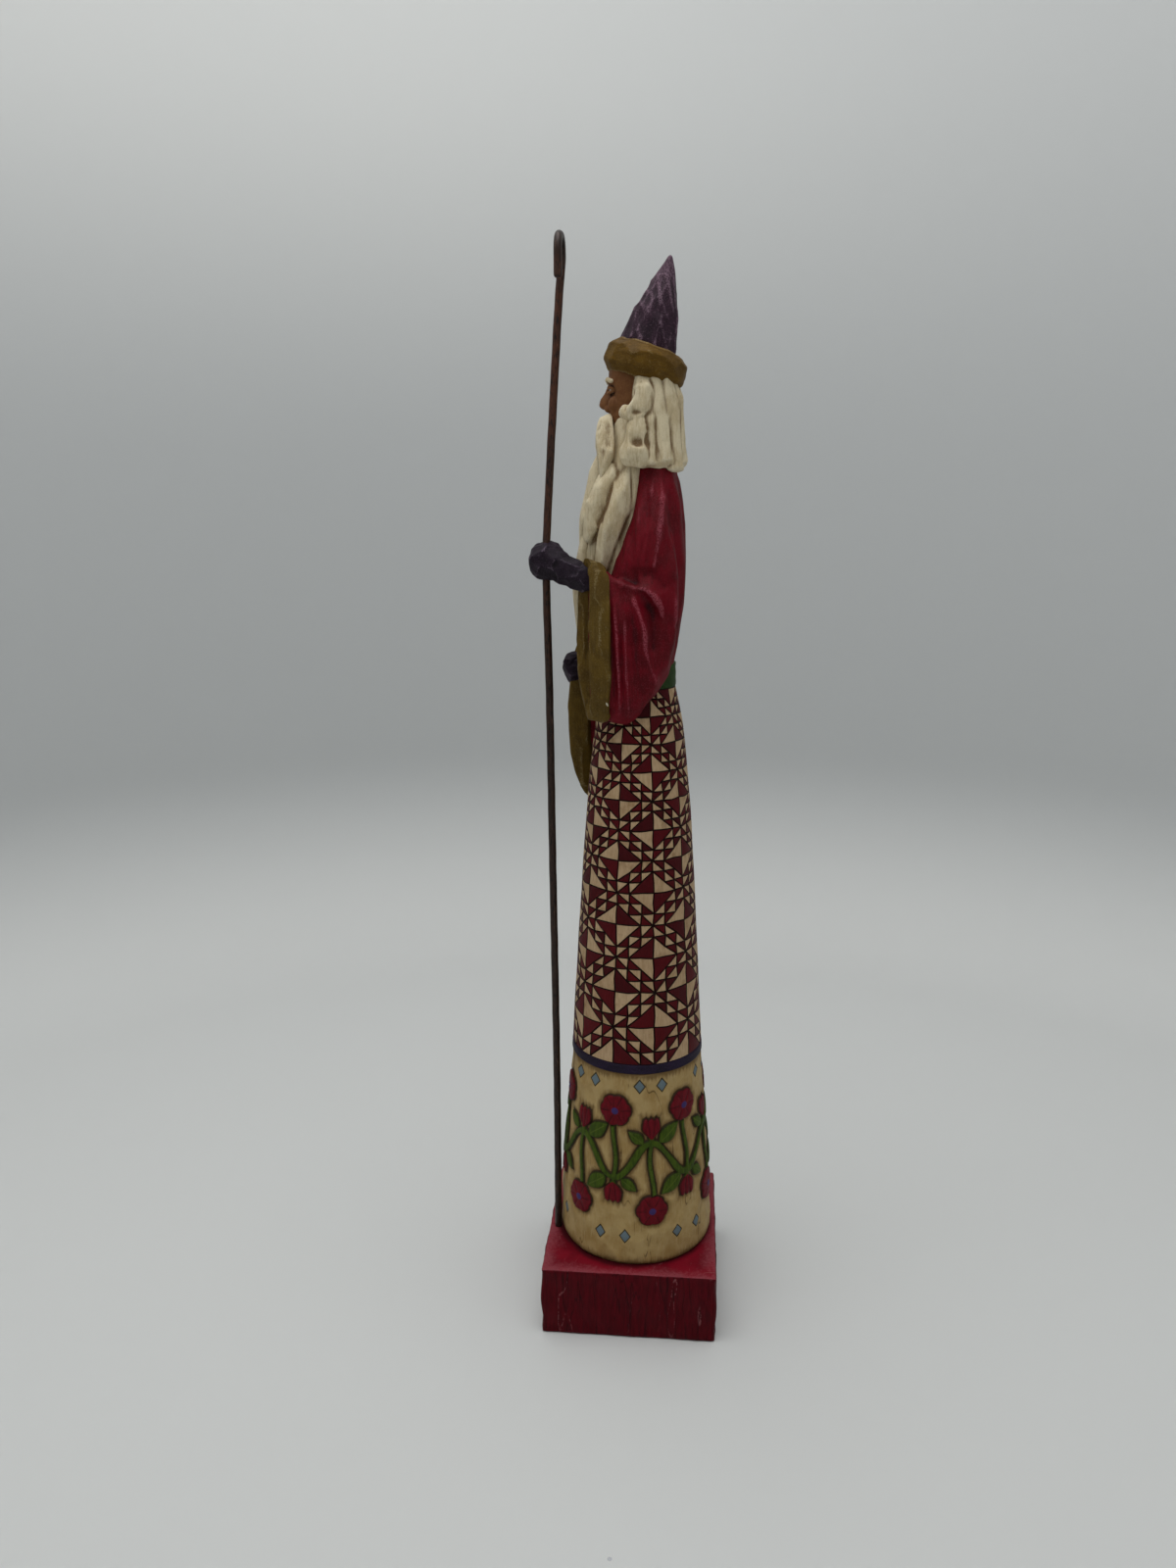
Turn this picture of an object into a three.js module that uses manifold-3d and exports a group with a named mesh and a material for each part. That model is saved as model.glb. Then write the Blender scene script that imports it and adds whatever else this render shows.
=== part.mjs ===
// A tall, slim santa figurine in a quilted robe, on a block, with a bowed rod for a staff.
// Millimetres, Z up. The origin is the middle of the block's underside. The figure faces -Y,
// and +X is the figure's left, the hand that holds the staff.
import * as THREE from 'three';
import { mergeVertices } from 'three/addons/utils/BufferGeometryUtils.js';
import Module from 'manifold-3d';

// Block
const BLOCK_WIDE = 82.8;
const BLOCK_DEEP = 75.4;
const BLOCK_HIGH = 31;
const BLOCK_EDGE = 1.1;
const BLOCK_RUB = 0.5;
const BLOCK_WAVE = 0.35;
const BLOCK_CELLS = 6;

// Robe: radius at each height, about an upright axis, and a little wider than it is deep
const AXIS_Y = 1.2;
const ROBE_LINE = [[33.9, 33], [32.7, 62], [29.4, 101], [26.7, 148], [24.2, 190], [21.4, 230], [18, 262],
  [14.4, 280]];
const ROBE_WIDEN = 1.03;
const ROBE_SIDES = 24;
const HEM_TUCK = 0.7;

// Belt
const BELT_LOW = 277.6;
const BELT_HIGH = 288.4;
const BELT_RADIUS = 15;

// Vine border: the waves go round the robe, with a blossom under and over each
const WAVES = 6;
const VINE_MIDDLE = 79;
const VINE_SWING = 8;
const VINE_HALF = 1.2;
const RAISED = 0.6;
const SUNK = 0.9;
const BLOSSOM_RADIUS = 6.1;
const BLOSSOM_HIGH = 101;
const BLOSSOM_LOW = 56.5;
const BUD_LONG = 8.5;
const LEAF_LONG = 11;
const LEAF_ASIDE = 0.11;
const LEAF_TURN = 0.9;
const MOTIF_GAP = 0.5;

// Staff
const ROD_RADIUS = 1.6;
const ROD_SIDES = 8;
const ROD_STEPS = 32;
const STAFF_X = 9;
const STAFF_LINE = [[-33.6, 25], [-33.6, 104], [-34.4, 195], [-35.1, 279], [-35.8, 328.6], [-34.4, 356],
  [-32.1, 392.6], [-29.7, 427.8], [-28.5, 440.2]];
const HOOK_RADIUS = 6.9;
const HOOK_DROP = 9;
const CLEARANCE = 0.35;
const SOCKET_DEEP = 6.5;

// Hat and brim
const BRIM_CENTRE = [0, 2.8, 403.2];
const BRIM_TILT = THREE.MathUtils.degToRad(-18);
const BRIM_RADIUS = 16.3;
const BRIM_THICK = 11.8;
const HAT_SIDES = 11;

const wasm = await Module();
wasm.setup();

const v = (x, y, z) => new THREE.Vector3(x, y, z);
const { clamp, lerp } = THREE.MathUtils;

// Solids from geometry, and back

// A closed geometry as a solid: corners at one place become one, and flat slivers go.
function solid(geometry) {
  geometry.deleteAttribute('normal');
  geometry.deleteAttribute('uv');
  const merged = mergeVertices(geometry, 1e-5);
  const index = merged.index.array;
  const triVerts = [];
  for (let i = 0; i < index.length; i += 3) {
    const [a, b, c] = index.slice(i, i + 3);
    if (a !== b && b !== c && c !== a) triVerts.push(a, b, c);
  }
  const vertProperties = Float32Array.from(merged.attributes.position.array);
  const made = (order) => new wasm.Manifold(
    new wasm.Mesh({ numProp: 3, vertProperties, triVerts: Uint32Array.from(order) }));
  const body = made(triVerts);
  if (body.volume() > 0) return body;
  return made(triVerts.reverse());
}

function geometryOf(body) {
  const mesh = body.getMesh();
  const geometry = new THREE.BufferGeometry();
  const places = [];
  for (let i = 0; i < mesh.vertProperties.length; i += mesh.numProp) {
    places.push(...mesh.vertProperties.slice(i, i + 3));
  }
  geometry.setAttribute('position', new THREE.Float32BufferAttribute(places, 3));
  geometry.setIndex([...mesh.triVerts]);
  return geometry;
}

const join = (bodies) => bodies.reduce((whole, body) => whole.add(body));

// The skin over a row of rings with as many points each. Ends close to their middle,
// and a round row closes on itself instead.
function skin(rings, round = false) {
  const sides = rings[0].length;
  const places = rings.flat();
  const faces = [];
  const rows = round ? rings.length : rings.length - 1;
  for (let r = 0; r < rows; r += 1) {
    for (let s = 0; s < sides; s += 1) {
      const next = (s + 1) % sides;
      const a = r * sides + s;
      const b = r * sides + next;
      const c = ((r + 1) % rings.length) * sides + s;
      const d = ((r + 1) % rings.length) * sides + next;
      faces.push(a, b, d, a, d, c);
    }
  }
  if (!round) {
    for (const end of [0, rings.length - 1]) {
      const middle = places.length;
      const sum = rings[end].reduce((total, p) => total.clone().add(p), v(0, 0, 0));
      places.push(sum.divideScalar(sides));
      for (let s = 0; s < sides; s += 1) {
        const edge = [end * sides + s, end * sides + (s + 1) % sides];
        faces.push(middle, ...(end === 0 ? edge.reverse() : edge));
      }
    }
  }
  const geometry = new THREE.BufferGeometry();
  const numbers = places.flatMap((p) => [p.x, p.y, p.z]);
  geometry.setAttribute('position', new THREE.Float32BufferAttribute(numbers, 3));
  geometry.setIndex(faces);
  return solid(geometry);
}

const turns = (sides) => Array.from({ length: sides }, (_, i) => (2 * Math.PI * i) / sides);
const steps = (count) => Array.from({ length: count + 1 }, (_, i) => i / count);

// A smooth curve through [place, value] pairs, level beyond its ends.
function through(...pairs) {
  const slope = (i) => {
    const [x0, y0] = pairs[Math.max(i - 1, 0)];
    const [x1, y1] = pairs[Math.min(i + 1, pairs.length - 1)];
    return (y1 - y0) / (x1 - x0);
  };
  return (place) => {
    const found = pairs.findIndex((pair) => pair[0] > place);
    const i = found < 0 ? pairs.length - 2 : Math.max(found - 1, 0);
    const [x0, y0] = pairs[i];
    const [x1, y1] = pairs[i + 1];
    const wide = x1 - x0;
    const t = clamp((place - x0) / wide, 0, 1);
    const back = 1 - t;
    const ends = y0 * (1 + 2 * t) * back * back + y1 * t * t * (3 - 2 * t);
    return ends + wide * (slope(i) * t * back * back - slope(i + 1) * t * t * back);
  };
}

// A tapering body along a curve, such as a lock of hair or an arm. Its section at each
// step is an oval, wide across and deep along the direction that it faces.
function limb({ line, faces, wide, deep, sides = 8, count = 8, start = 0 }) {
  const curve = new THREE.CatmullRomCurve3(line.map((p) => v(...p)));
  const outward = v(...faces).normalize();
  const rings = steps(count).map((t) => {
    const centre = curve.getPoint(t);
    const across = curve.getTangent(t).cross(outward).normalize();
    const up = across.clone().cross(curve.getTangent(t)).normalize();
    return turns(sides).map((turn) => centre.clone()
      .addScaledVector(across, wide(t) * Math.cos(turn + start))
      .addScaledVector(up, deep(t) * Math.sin(turn + start)));
  });
  return skin(rings);
}

// Rings one above another, each an oval between a front and a back, with squarer corners
// where `square` is over 0.
function stack({ levels, half, front, back, sides, square = 0, bump = () => 0 }) {
  const rings = levels.map((z) => turns(sides).map((turn) => {
    const c = Math.cos(turn);
    const s = Math.sin(turn);
    const corner = 1 + square * (c * s) ** 2;
    const reach = 1 + bump(turn, z);
    const middle = (front(z) + back(z)) / 2;
    const deep = (back(z) - front(z)) / 2;
    return v(half(z) * c * corner * reach, middle + deep * s * corner * reach, z);
  }));
  return skin(rings);
}

const mirrored = ([x, y, z]) => [-x, y, z];
const pair = (make) => [make((p) => p), make(mirrored)];

// The robe and its vine border

const robeRadius = through(...ROBE_LINE.map(([r, z]) => [z, r]));

function robe() {
  const [hemRadius] = ROBE_LINE[0];
  const topHeight = ROBE_LINE.at(-1)[1];
  const line = [[0, BLOCK_HIGH], [hemRadius - HEM_TUCK, BLOCK_HIGH], ...ROBE_LINE, [0, topHeight]];
  const turned = new THREE.LatheGeometry(line.map(([r, z]) => new THREE.Vector2(r, z)), ROBE_SIDES);
  turned.rotateX(Math.PI / 2);
  turned.scale(ROBE_WIDEN, 1, 1);
  turned.translate(0, AXIS_Y, 0);
  return solid(turned);
}

// The place on the robe at an angle round from +X and a height, lifted off its surface.
function onRobe(angle, z, lift) {
  const radius = robeRadius(z) + lift;
  return v(ROBE_WIDEN * radius * Math.cos(angle), AXIS_Y + radius * Math.sin(angle), z);
}

// A raised motif: an outline of [across, up] points in millimetres about a place on the robe.
function motif(angle, z, turn, outline) {
  const radius = robeRadius(z);
  const laid = (lift, shrink) => outline.map(([across, up]) => {
    const a = (across * Math.cos(turn) - up * Math.sin(turn)) * shrink;
    const u = (across * Math.sin(turn) + up * Math.cos(turn)) * shrink;
    return onRobe(angle + a / radius, z + u, lift);
  });
  return skin([laid(-SUNK, 1), laid(RAISED, 0.9)]);
}

function blossom(angle, z) {
  const petal = (turn) => BLOSSOM_RADIUS * (0.93 + 0.07 * Math.cos(6 * turn));
  const outline = turns(12).map((turn) => [petal(turn) * Math.cos(turn), petal(turn) * Math.sin(turn)]);
  return motif(angle, z, 0, outline);
}

function leaf(angle, z, turn) {
  const half = (t) => LEAF_LONG * 0.24 * Math.sin(Math.PI * t ** 0.8);
  const side = steps(3).slice(1, -1).map((t) => [half(t), LEAF_LONG * t]);
  const other = side.map(([across, up]) => [-across, up]).reverse();
  return motif(angle, z, turn, [[0, 0], ...side, [0, LEAF_LONG], ...other]);
}

function bud(angle, z, turn) {
  const wide = BUD_LONG * 0.36;
  const high = 0.35 * BUD_LONG;
  const half = [[0, 0], [wide, high], [wide * 0.85, BUD_LONG]];
  return motif(angle, z, turn, [...half, [0, 0.75 * BUD_LONG], [-wide * 0.85, BUD_LONG], [-wide, high]]);
}

const vineHeight = (angle) => VINE_MIDDLE + VINE_SWING * Math.sin(WAVES * angle);

// The vine's own band: a closed wave of four-cornered sections round the robe.
function vine() {
  const rings = turns(WAVES * 8).map((angle) => {
    const rise = (VINE_SWING * WAVES * Math.cos(WAVES * angle)) / robeRadius(VINE_MIDDLE);
    const half = VINE_HALF * Math.hypot(1, rise);
    const z = vineHeight(angle);
    return [[-half, -SUNK], [half, -SUNK], [half * 0.8, RAISED], [-half * 0.8, RAISED]]
      .map(([up, lift]) => onRobe(angle, z + up, lift));
  });
  return skin(rings, true);
}

function stem(angle, low, high) {
  const edge = VINE_HALF * 0.6;
  const long = high - low;
  return motif(angle, low, 0, [[edge, 0], [edge, long], [-edge, long], [-edge, 0]]);
}

// Each wave carries a bud over its crest and a blossom under it, and the other way round
// at its trough, with a leaf beside each bud.
function border() {
  const crest = Math.PI / (2 * WAVES);
  const top = VINE_MIDDLE + VINE_SWING;
  const bottom = VINE_MIDDLE - VINE_SWING;
  const clear = VINE_HALF + MOTIF_GAP;
  const reach = BLOSSOM_RADIUS + MOTIF_GAP;
  const bodies = [vine()];
  for (let i = 0; i < WAVES; i += 1) {
    const high = (2 * Math.PI * i) / WAVES + crest;
    const low = high + Math.PI / WAVES;
    bodies.push(blossom(low, BLOSSOM_HIGH), stem(low, bottom + clear, BLOSSOM_HIGH - reach));
    bodies.push(blossom(high, BLOSSOM_LOW), stem(high, BLOSSOM_LOW + reach, top - clear));
    bodies.push(bud(high, top + clear, 0), bud(low, bottom - clear, Math.PI));
    bodies.push(leaf(high + LEAF_ASIDE, top + clear, -LEAF_TURN));
    bodies.push(leaf(low - LEAF_ASIDE, bottom - clear, Math.PI - LEAF_TURN));
  }
  return join(bodies);
}

function belt() {
  const edge = 0.8;
  const profile = [[0, BELT_LOW], [BELT_RADIUS - edge, BELT_LOW], [BELT_RADIUS, BELT_LOW + edge],
    [BELT_RADIUS, BELT_HIGH - edge], [BELT_RADIUS - edge, BELT_HIGH], [0, BELT_HIGH]];
  const ring = new THREE.LatheGeometry(profile.map(([r, z]) => new THREE.Vector2(r, z)), 18);
  ring.rotateX(Math.PI / 2);
  ring.translate(0, AXIS_Y, 0);
  return solid(ring);
}

// Coat

// The body of the coat: sloping shoulders, and folds that run down its back and sides.
function coatBody() {
  const folds = (turn, z) => {
    const fade = clamp((352 - z) / 20, 0, 1);
    return 0.035 * fade * Math.cos(8 * turn) * (Math.sin(turn) > -0.3 ? 1 : 0.3);
  };
  return stack({
    levels: [286.5, 291, 300, 311, 323, 335, 346, 356, 367],
    half: through([286, 14.5], [291, 16.5], [305, 20.2], [320, 21.6], [336, 21.5], [348, 19], [358, 14.5],
      [367, 11]),
    front: through([286, -13], [297, -15.5], [311, -14.5], [322, -11.2], [336, -6], [350, -2], [367, -1]),
    back: through([286, 15.4], [302, 17.2], [312, 18.5], [325, 19], [340, 18.5], [356, 17], [367, 14.5]),
    sides: 22,
    square: 0.25,
    bump: folds,
  });
}

function upperArm(side, elbowZ) {
  return limb({
    line: [[side * 11, 6, 360], [side * 16.6, 7, 344], [side * 19.3, 8.5, 328], [side * 19.3, 8.5, elbowZ],
      [side * 15, 6, elbowZ - 12]],
    faces: [side, 0, 0.2],
    wide: through([0, 4], [0.3, 7.4], [0.65, 8.4], [0.85, 7], [1, 3]),
    deep: through([0, 2.4], [0.3, 4.2], [0.65, 5], [0.85, 4.4], [1, 2]),
    sides: 9,
    count: 6,
  });
}

// A sleeve is a row of tall ovals from its mouth in front to the elbow behind. Each lists
// how far back it is, its highest and lowest point, and its middle and half width across.
const LEFT_SLEEVE = {
  side: 1,
  slant: 0.5,
  at: [-19.4, -13, -10, -7, -4, -1, 2, 5, 8, 11, 13.6, 15.4, 16.2],
  top: through([-19.4, 328.6], [-11, 325], [-3, 321], [4, 320], [9, 317.4], [13.6, 312], [16.2, 305]),
  low: through([-19.4, 268.6], [-12, 267.6], [-7.4, 265.2], [-1, 266], [5.3, 273], [12.8, 284], [16.2, 297]),
  topLean: 0.3,
  lowLean: 0.7,
  middle: through([-19.4, 20.3], [-6, 20.2], [4, 18.6], [12, 15.5], [16.2, 12.5]),
  half: through([-19.4, 5.9], [-8, 7], [2, 8], [10, 8.4], [13.6, 7], [15.4, 4.4], [16.2, 1.8]),
  fold: 7.2,
  cuff: 8.4,
};
const RIGHT_SLEEVE = {
  side: -1,
  slant: 0.4,
  at: [-26.6, -20, -16.5, -13, -9.5, -6, -2.5, 1, 5, 9, 12, 14, 15],
  top: through([-26.6, 293.5], [-18, 297], [-8, 302], [4, 306], [12, 307], [14, 304], [15, 299]),
  low: through([-26.6, 229.2], [-21, 227], [-14, 229.5], [-8, 235], [0, 246], [8, 262], [12, 275], [15, 291]),
  middle: through([-26.6, 16.2], [-14, 18.6], [-3, 20.4], [6, 19], [16, 13]),
  half: through([-26.6, 6], [-14, 6.8], [-3, 6.9], [8, 7.2], [12, 6], [14, 4], [15, 1.6]),
  topLean: 0.8,
  lowLean: 2.2,
  fold: 7.8,
  cuff: 8.2,
};

// One ring of a sleeve, with `grow` added all round. Folds ring its lower, outer half.
function sleeveRing(sleeve, y, sides, grow = 0) {
  const middle = (sleeve.top(y) + sleeve.low(y)) / 2;
  const high = (sleeve.top(y) - sleeve.low(y)) / 2 + grow;
  const half = sleeve.half(y) + grow;
  const behind = y - sleeve.at[0];
  const square = clamp(1 - behind / 22, 0, 1);
  const folds = 0.12 * clamp((behind - 9) / 4, 0, 1) * Math.cos((2 * Math.PI * y) / sleeve.fold);
  return turns(sides).map((turn) => {
    const c = Math.cos(turn);
    const s = Math.sin(turn);
    const fold = c > 0 ? 1 + folds * clamp((0.6 - s) / 1.2, 0, 1) : 1;
    const across = half * Math.sign(c) * Math.abs(c) ** 0.8 * fold;
    const lean = (s > 0 ? sleeve.topLean : sleeve.lowLean) * Math.abs(s) ** 3;
    const back = square * (sleeve.slant * across + lean / sleeve.slant);
    return v(sleeve.side * (sleeve.middle(y) + across), y + back, middle + high * s);
  });
}

function sleeveBody(sleeve) {
  return skin(sleeve.at.map((y) => sleeveRing(sleeve, y, 13)));
}

// The fur band round the sleeve's mouth, and the hollow that is cut into the mouth.
function cuffBand(sleeve) {
  const front = sleeve.at[0];
  const band = [[-0.9, 0.3], [0, 1.5], [sleeve.cuff - 0.8, 1.7], [sleeve.cuff, 0.5]];
  return skin(band.map(([shift, grow]) => sleeveRing(sleeve, front + shift, 16, grow)));
}

function mouthHollow(sleeve) {
  const front = sleeve.at[0];
  return skin([[-6, -1.9], [2.2, -2.1], [3.4, -3.2]]
    .map(([shift, grow]) => sleeveRing(sleeve, front + shift, 14, grow)));
}

// The crescent fold that the bent elbow throws up on the left sleeve.
function elbowFold({ side, top }) {
  const z = top(4);
  return limb({
    line: [[side * 22, -10, z - 1.4], [side * 21.6, -3, z - 4.6], [side * 21.6, 3.4, z - 5.4],
      [side * 21.2, 8.4, z - 8.6], [side * 19.4, 10.6, z - 17]],
    faces: [side, 0, 0.5],
    wide: through([0, 1], [0.3, 3.6], [0.8, 3.4], [1, 1]),
    deep: through([0, 0.8], [0.3, 3.2], [0.8, 3], [1, 0.8]),
    sides: 6,
    count: 6,
  });
}

// Hands

// A mittened hand: wrist, fist, and a thumb laid over it.
function mitten({ wrist, fist, thumb, size, faces }) {
  const arm = limb({
    line: wrist,
    faces,
    wide: through([0, 4.4], [1, 4.7]),
    deep: through([0, 5.2], [1, 5.6]),
    count: 2,
  });
  const palm = limb({
    line: fist,
    faces,
    wide: through([0, 0.45 * size], [0.25, 0.86 * size], [0.6, size], [0.88, 0.8 * size], [1, 0.4 * size]),
    deep: through([0, 0.55 * size], [0.25, 0.9 * size], [0.6, size], [0.88, 0.84 * size], [1, 0.45 * size]),
    sides: 7,
    count: 4,
  });
  const over = limb({
    line: thumb,
    faces,
    wide: through([0, 1], [0.4, 2.1], [0.8, 2], [1, 0.9]),
    deep: through([0, 1], [0.4, 2], [0.8, 1.9], [1, 0.8]),
    sides: 5,
    count: 3,
  });
  return join([arm, palm, over]);
}

function leftHand() {
  return mitten({
    wrist: [[18, -14, 321], [15.5, -22, 323.4], [12.2, -29, 326]],
    fist: [[13, -27, 325.6], [10.2, -33, 328], [8.8, -37.5, 328.6], [8.2, -42.4, 328.8]],
    thumb: [[12, -29, 332.4], [8.8, -33.4, 335], [5.8, -37.6, 334.2], [4.6, -40.4, 331.6]],
    size: 6.8,
    faces: [0, 0.2, 1],
  });
}

function rightHand() {
  return mitten({
    wrist: [[-17, -16, 285], [-15.6, -21.6, 284.4], [-14, -25, 283.8]],
    fist: [[-15, -22.6, 284], [-13.2, -26.2, 283.2], [-12, -28.4, 282], [-11, -30.8, 281]],
    thumb: [[-14.4, -24, 288], [-11.8, -26.6, 288.8], [-9.6, -28.8, 287.4], [-8.6, -30.2, 285]],
    size: 5.6,
    faces: [0, 0.3, 1],
  });
}

// Beard and hair

const leafWide = (most, blunt) => through(
  [0, most * 0.45], [0.3, most], [0.75, most * 0.8], [1, most * blunt * 0.5]);

// A carved lock: a keeled leaf that lies on what is behind it.
function lock({ line, faces, wide, deep, blunt = 0.5 }) {
  return limb({ line, faces, wide: leafWide(wide, blunt), deep: leafWide(deep, blunt), sides: 6, count: 4 });
}

// Locks on the figure's left, from the middle of the beard to its side, and the tail.
const BEARD_LOCKS = [
  {
    line: [[3.6, -11, 377], [4.6, -14, 366], [4.8, -17.6, 353], [4.2, -21.4, 337.6]],
    faces: [0.3, -1, 0],
    wide: 4.4,
    deep: 2.6,
    blunt: 0.9,
  },
  {
    line: [[8.4, -10.4, 368], [9.6, -14, 355], [8.6, -18.4, 340], [6.2, -20.6, 322]],
    faces: [0.8, -1, 0],
    wide: 4.2,
    deep: 3,
    blunt: 0.7,
  },
  {
    line: [[12, -3.6, 367], [13.8, -5.6, 352], [13, -9.6, 338], [9.6, -14.2, 322]],
    faces: [1, -0.5, 0],
    wide: 5,
    deep: 2.8,
    blunt: 1,
  },
];
const BEARD_TAIL = {
  line: [[0, -20, 341], [0.4, -22.8, 327], [0.2, -23.6, 312], [0, -23.8, 297.6]],
  faces: [0, -1, 0],
  wide: 4.2,
  deep: 2.4,
};
const MOUSTACHE = {
  line: [[1, -10.8, 383.4], [4.4, -11.8, 378.6], [6, -13, 370.5], [5.4, -15, 357]],
  faces: [0.5, -1, 0],
  wide: 3.5,
  deep: 3,
};
// Each cheek has a lock that curls forward, and a lump of side beard under it.
const SIDE_LOCKS = [
  {
    line: [[12.6, 4.5, 399], [13.8, 5, 391], [14.4, 2.5, 385], [13.4, -2.2, 384.2], [12.2, -4.6, 386.4]],
    faces: [1, 0, 0],
    wide: 3.2,
    deep: 2.4,
    blunt: 0.9,
  },
  {
    line: [[11.4, 3.6, 381.6], [12.8, 2.4, 376], [13.2, 0.8, 370], [12.4, -1.6, 365.6]],
    faces: [1, -0.2, 0],
    wide: 5.6,
    deep: 3.6,
    blunt: 1,
  },
];

// One lock on each side of the figure.
const pairOf = (shape) => pair((at) => lock({ ...shape, line: shape.line.map(at), faces: at(shape.faces) }));

function beard() {
  const core = stack({
    levels: [298, 306, 317, 330, 343, 356, 370, 385],
    half: through([298, 2.4], [309, 6.4], [323, 10.6], [337, 13.6], [353, 14.6], [369, 13.4], [385, 9.6]),
    front: through([298, -23.4], [309, -24], [323, -23], [337, -21.4], [353, -17.6], [369, -13.6],
      [385, -11]),
    back: through([298, -14], [309, -8], [323, -2], [337, 3], [349, 6], [369, 6], [385, 4]),
    sides: 10,
  });
  return join([core, ...BEARD_LOCKS.flatMap(pairOf), lock(BEARD_TAIL)]);
}

// The hair falls as a short cape, cut off in bevels above the coat.
function hair() {
  const waves = (turn, z) => 0.03 * clamp((400 - z) / 20, 0, 1) * Math.cos(8 * turn + 0.4);
  return stack({
    levels: [363.6, 366.4, 375, 384, 393, 402],
    half: through([363.6, 14.2], [366.4, 16], [373, 15.8], [387, 14], [402, 12.6]),
    front: through([363.6, -2], [366.4, -4], [387, -6.4], [402, -6.4]),
    back: through([363.6, 16.6], [366.4, 19.1], [373, 18.4], [387, 16], [402, 15]),
    sides: 19,
    square: 0.3,
    bump: waves,
  });
}

// Head: a plain egg with a brow, a straight nose and cheeks, on ordinary proportions
function head() {
  const egg = stack({
    levels: [376, 382, 388, 393.5, 397.5, 402, 408],
    half: through([376, 7.4], [386, 9.8], [394, 10.4], [402, 10.6], [408, 9]),
    front: through([376, -9.5], [382, -11.4], [388, -11.2], [393.5, -10.2], [397.5, -11.4], [402, -11],
      [408, -8]),
    back: () => 8,
    sides: 12,
  });
  const nose = limb({
    line: [[0, -10, 398], [0, -10.2, 393.5], [0, -10.8, 389], [0, -11, 385]],
    faces: [0, -1, 0],
    wide: through([0, 1.3], [0.4, 1.5], [0.75, 2.4], [1, 1.8]),
    deep: through([0, 1], [0.4, 2.2], [0.78, 4.2], [1, 2.4]),
    sides: 6,
    count: 5,
  });
  return join([egg, nose]);
}

// Hat

function hat() {
  const cuts = (turn, z) => 0.05 * Math.cos(4 * turn + (z - 400) * 0.16);
  return stack({
    levels: [401, 408, 414, 419, 424, 429, 434, 438.5, 441.6, 442.5],
    half: through([401, 10.6], [414, 10.2], [424, 7.8], [434, 4.6], [441.6, 2], [442.5, 1]),
    front: through([401, -7], [412.5, -6.4], [422.7, -2.5], [429, 1.8], [436, 5.8], [441.6, 9.2],
      [442.5, 10.4]),
    back: through([401, 13.5], [410, 14.6], [417.4, 15.2], [427, 14.7], [436, 14.2], [441.6, 13.2],
      [442.5, 12]),
    sides: HAT_SIDES,
    bump: cuts,
  });
}

function brim() {
  const half = BRIM_THICK / 2;
  const profile = [[0, -half], [0.74, -half], [0.9, -0.74 * half], [0.99, -0.3 * half], [1, 0.25 * half],
    [0.94, 0.72 * half], [0.8, half], [0, half]];
  const roll = new THREE.LatheGeometry(profile.map(([r, z]) => new THREE.Vector2(r * BRIM_RADIUS, z)), 18);
  roll.rotateX(Math.PI / 2);
  roll.rotateX(BRIM_TILT);
  roll.translate(...BRIM_CENTRE);
  return solid(roll);
}

// Staff

// The rod's centre line: a slow bow up to the top, then a round hook towards the left.
class StaffLine extends THREE.Curve {
  constructor(from, inset = 0) {
    super();
    this.bow = through(...STAFF_LINE.map(([y, z]) => [z, y]));
    this.low = from;
    this.high = STAFF_LINE.at(-1)[1] + inset;
    this.shank = 0.62;
  }

  getPoint(t) {
    if (t <= this.shank) {
      const z = lerp(this.low, this.high, t / this.shank);
      return v(STAFF_X, this.bow(z), z);
    }
    const arc = Math.PI * HOOK_RADIUS;
    const along = ((t - this.shank) / (1 - this.shank)) * (arc + HOOK_DROP);
    const turn = Math.min(along, arc) / HOOK_RADIUS;
    const across = HOOK_RADIUS * (1 - Math.cos(turn));
    const up = HOOK_RADIUS * Math.sin(turn) - Math.max(along - arc, 0);
    return v(STAFF_X + across, this.bow(this.high), this.high + up);
  }

  getPointAt(t) {
    return this.getPoint(t);
  }

  getTangentAt(t) {
    return this.getTangent(t);
  }
}

function rod(line, radius, count) {
  const section = new THREE.Shape();
  section.absarc(0, 0, radius, 0, 2 * Math.PI, false);
  return new THREE.ExtrudeGeometry(section, {
    steps: count,
    curveSegments: ROD_SIDES / 2,
    bevelEnabled: false,
    extrudePath: line,
  });
}

// The straight way that the staff takes through a solid, a little wider than the rod.
function wayThrough(low, high, wider) {
  const bow = new StaffLine(low).bow;
  const line = new THREE.LineCurve3(v(STAFF_X, bow(low), low), v(STAFF_X, bow(high), high));
  return solid(rod(line, ROD_RADIUS + wider, 1));
}

// Block

// Levels of the block, with the edge's own level near its top and its underside.
const BLOCK_LEVELS = [0, BLOCK_EDGE, 11, 21, BLOCK_HIGH - BLOCK_EDGE, BLOCK_HIGH];

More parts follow.
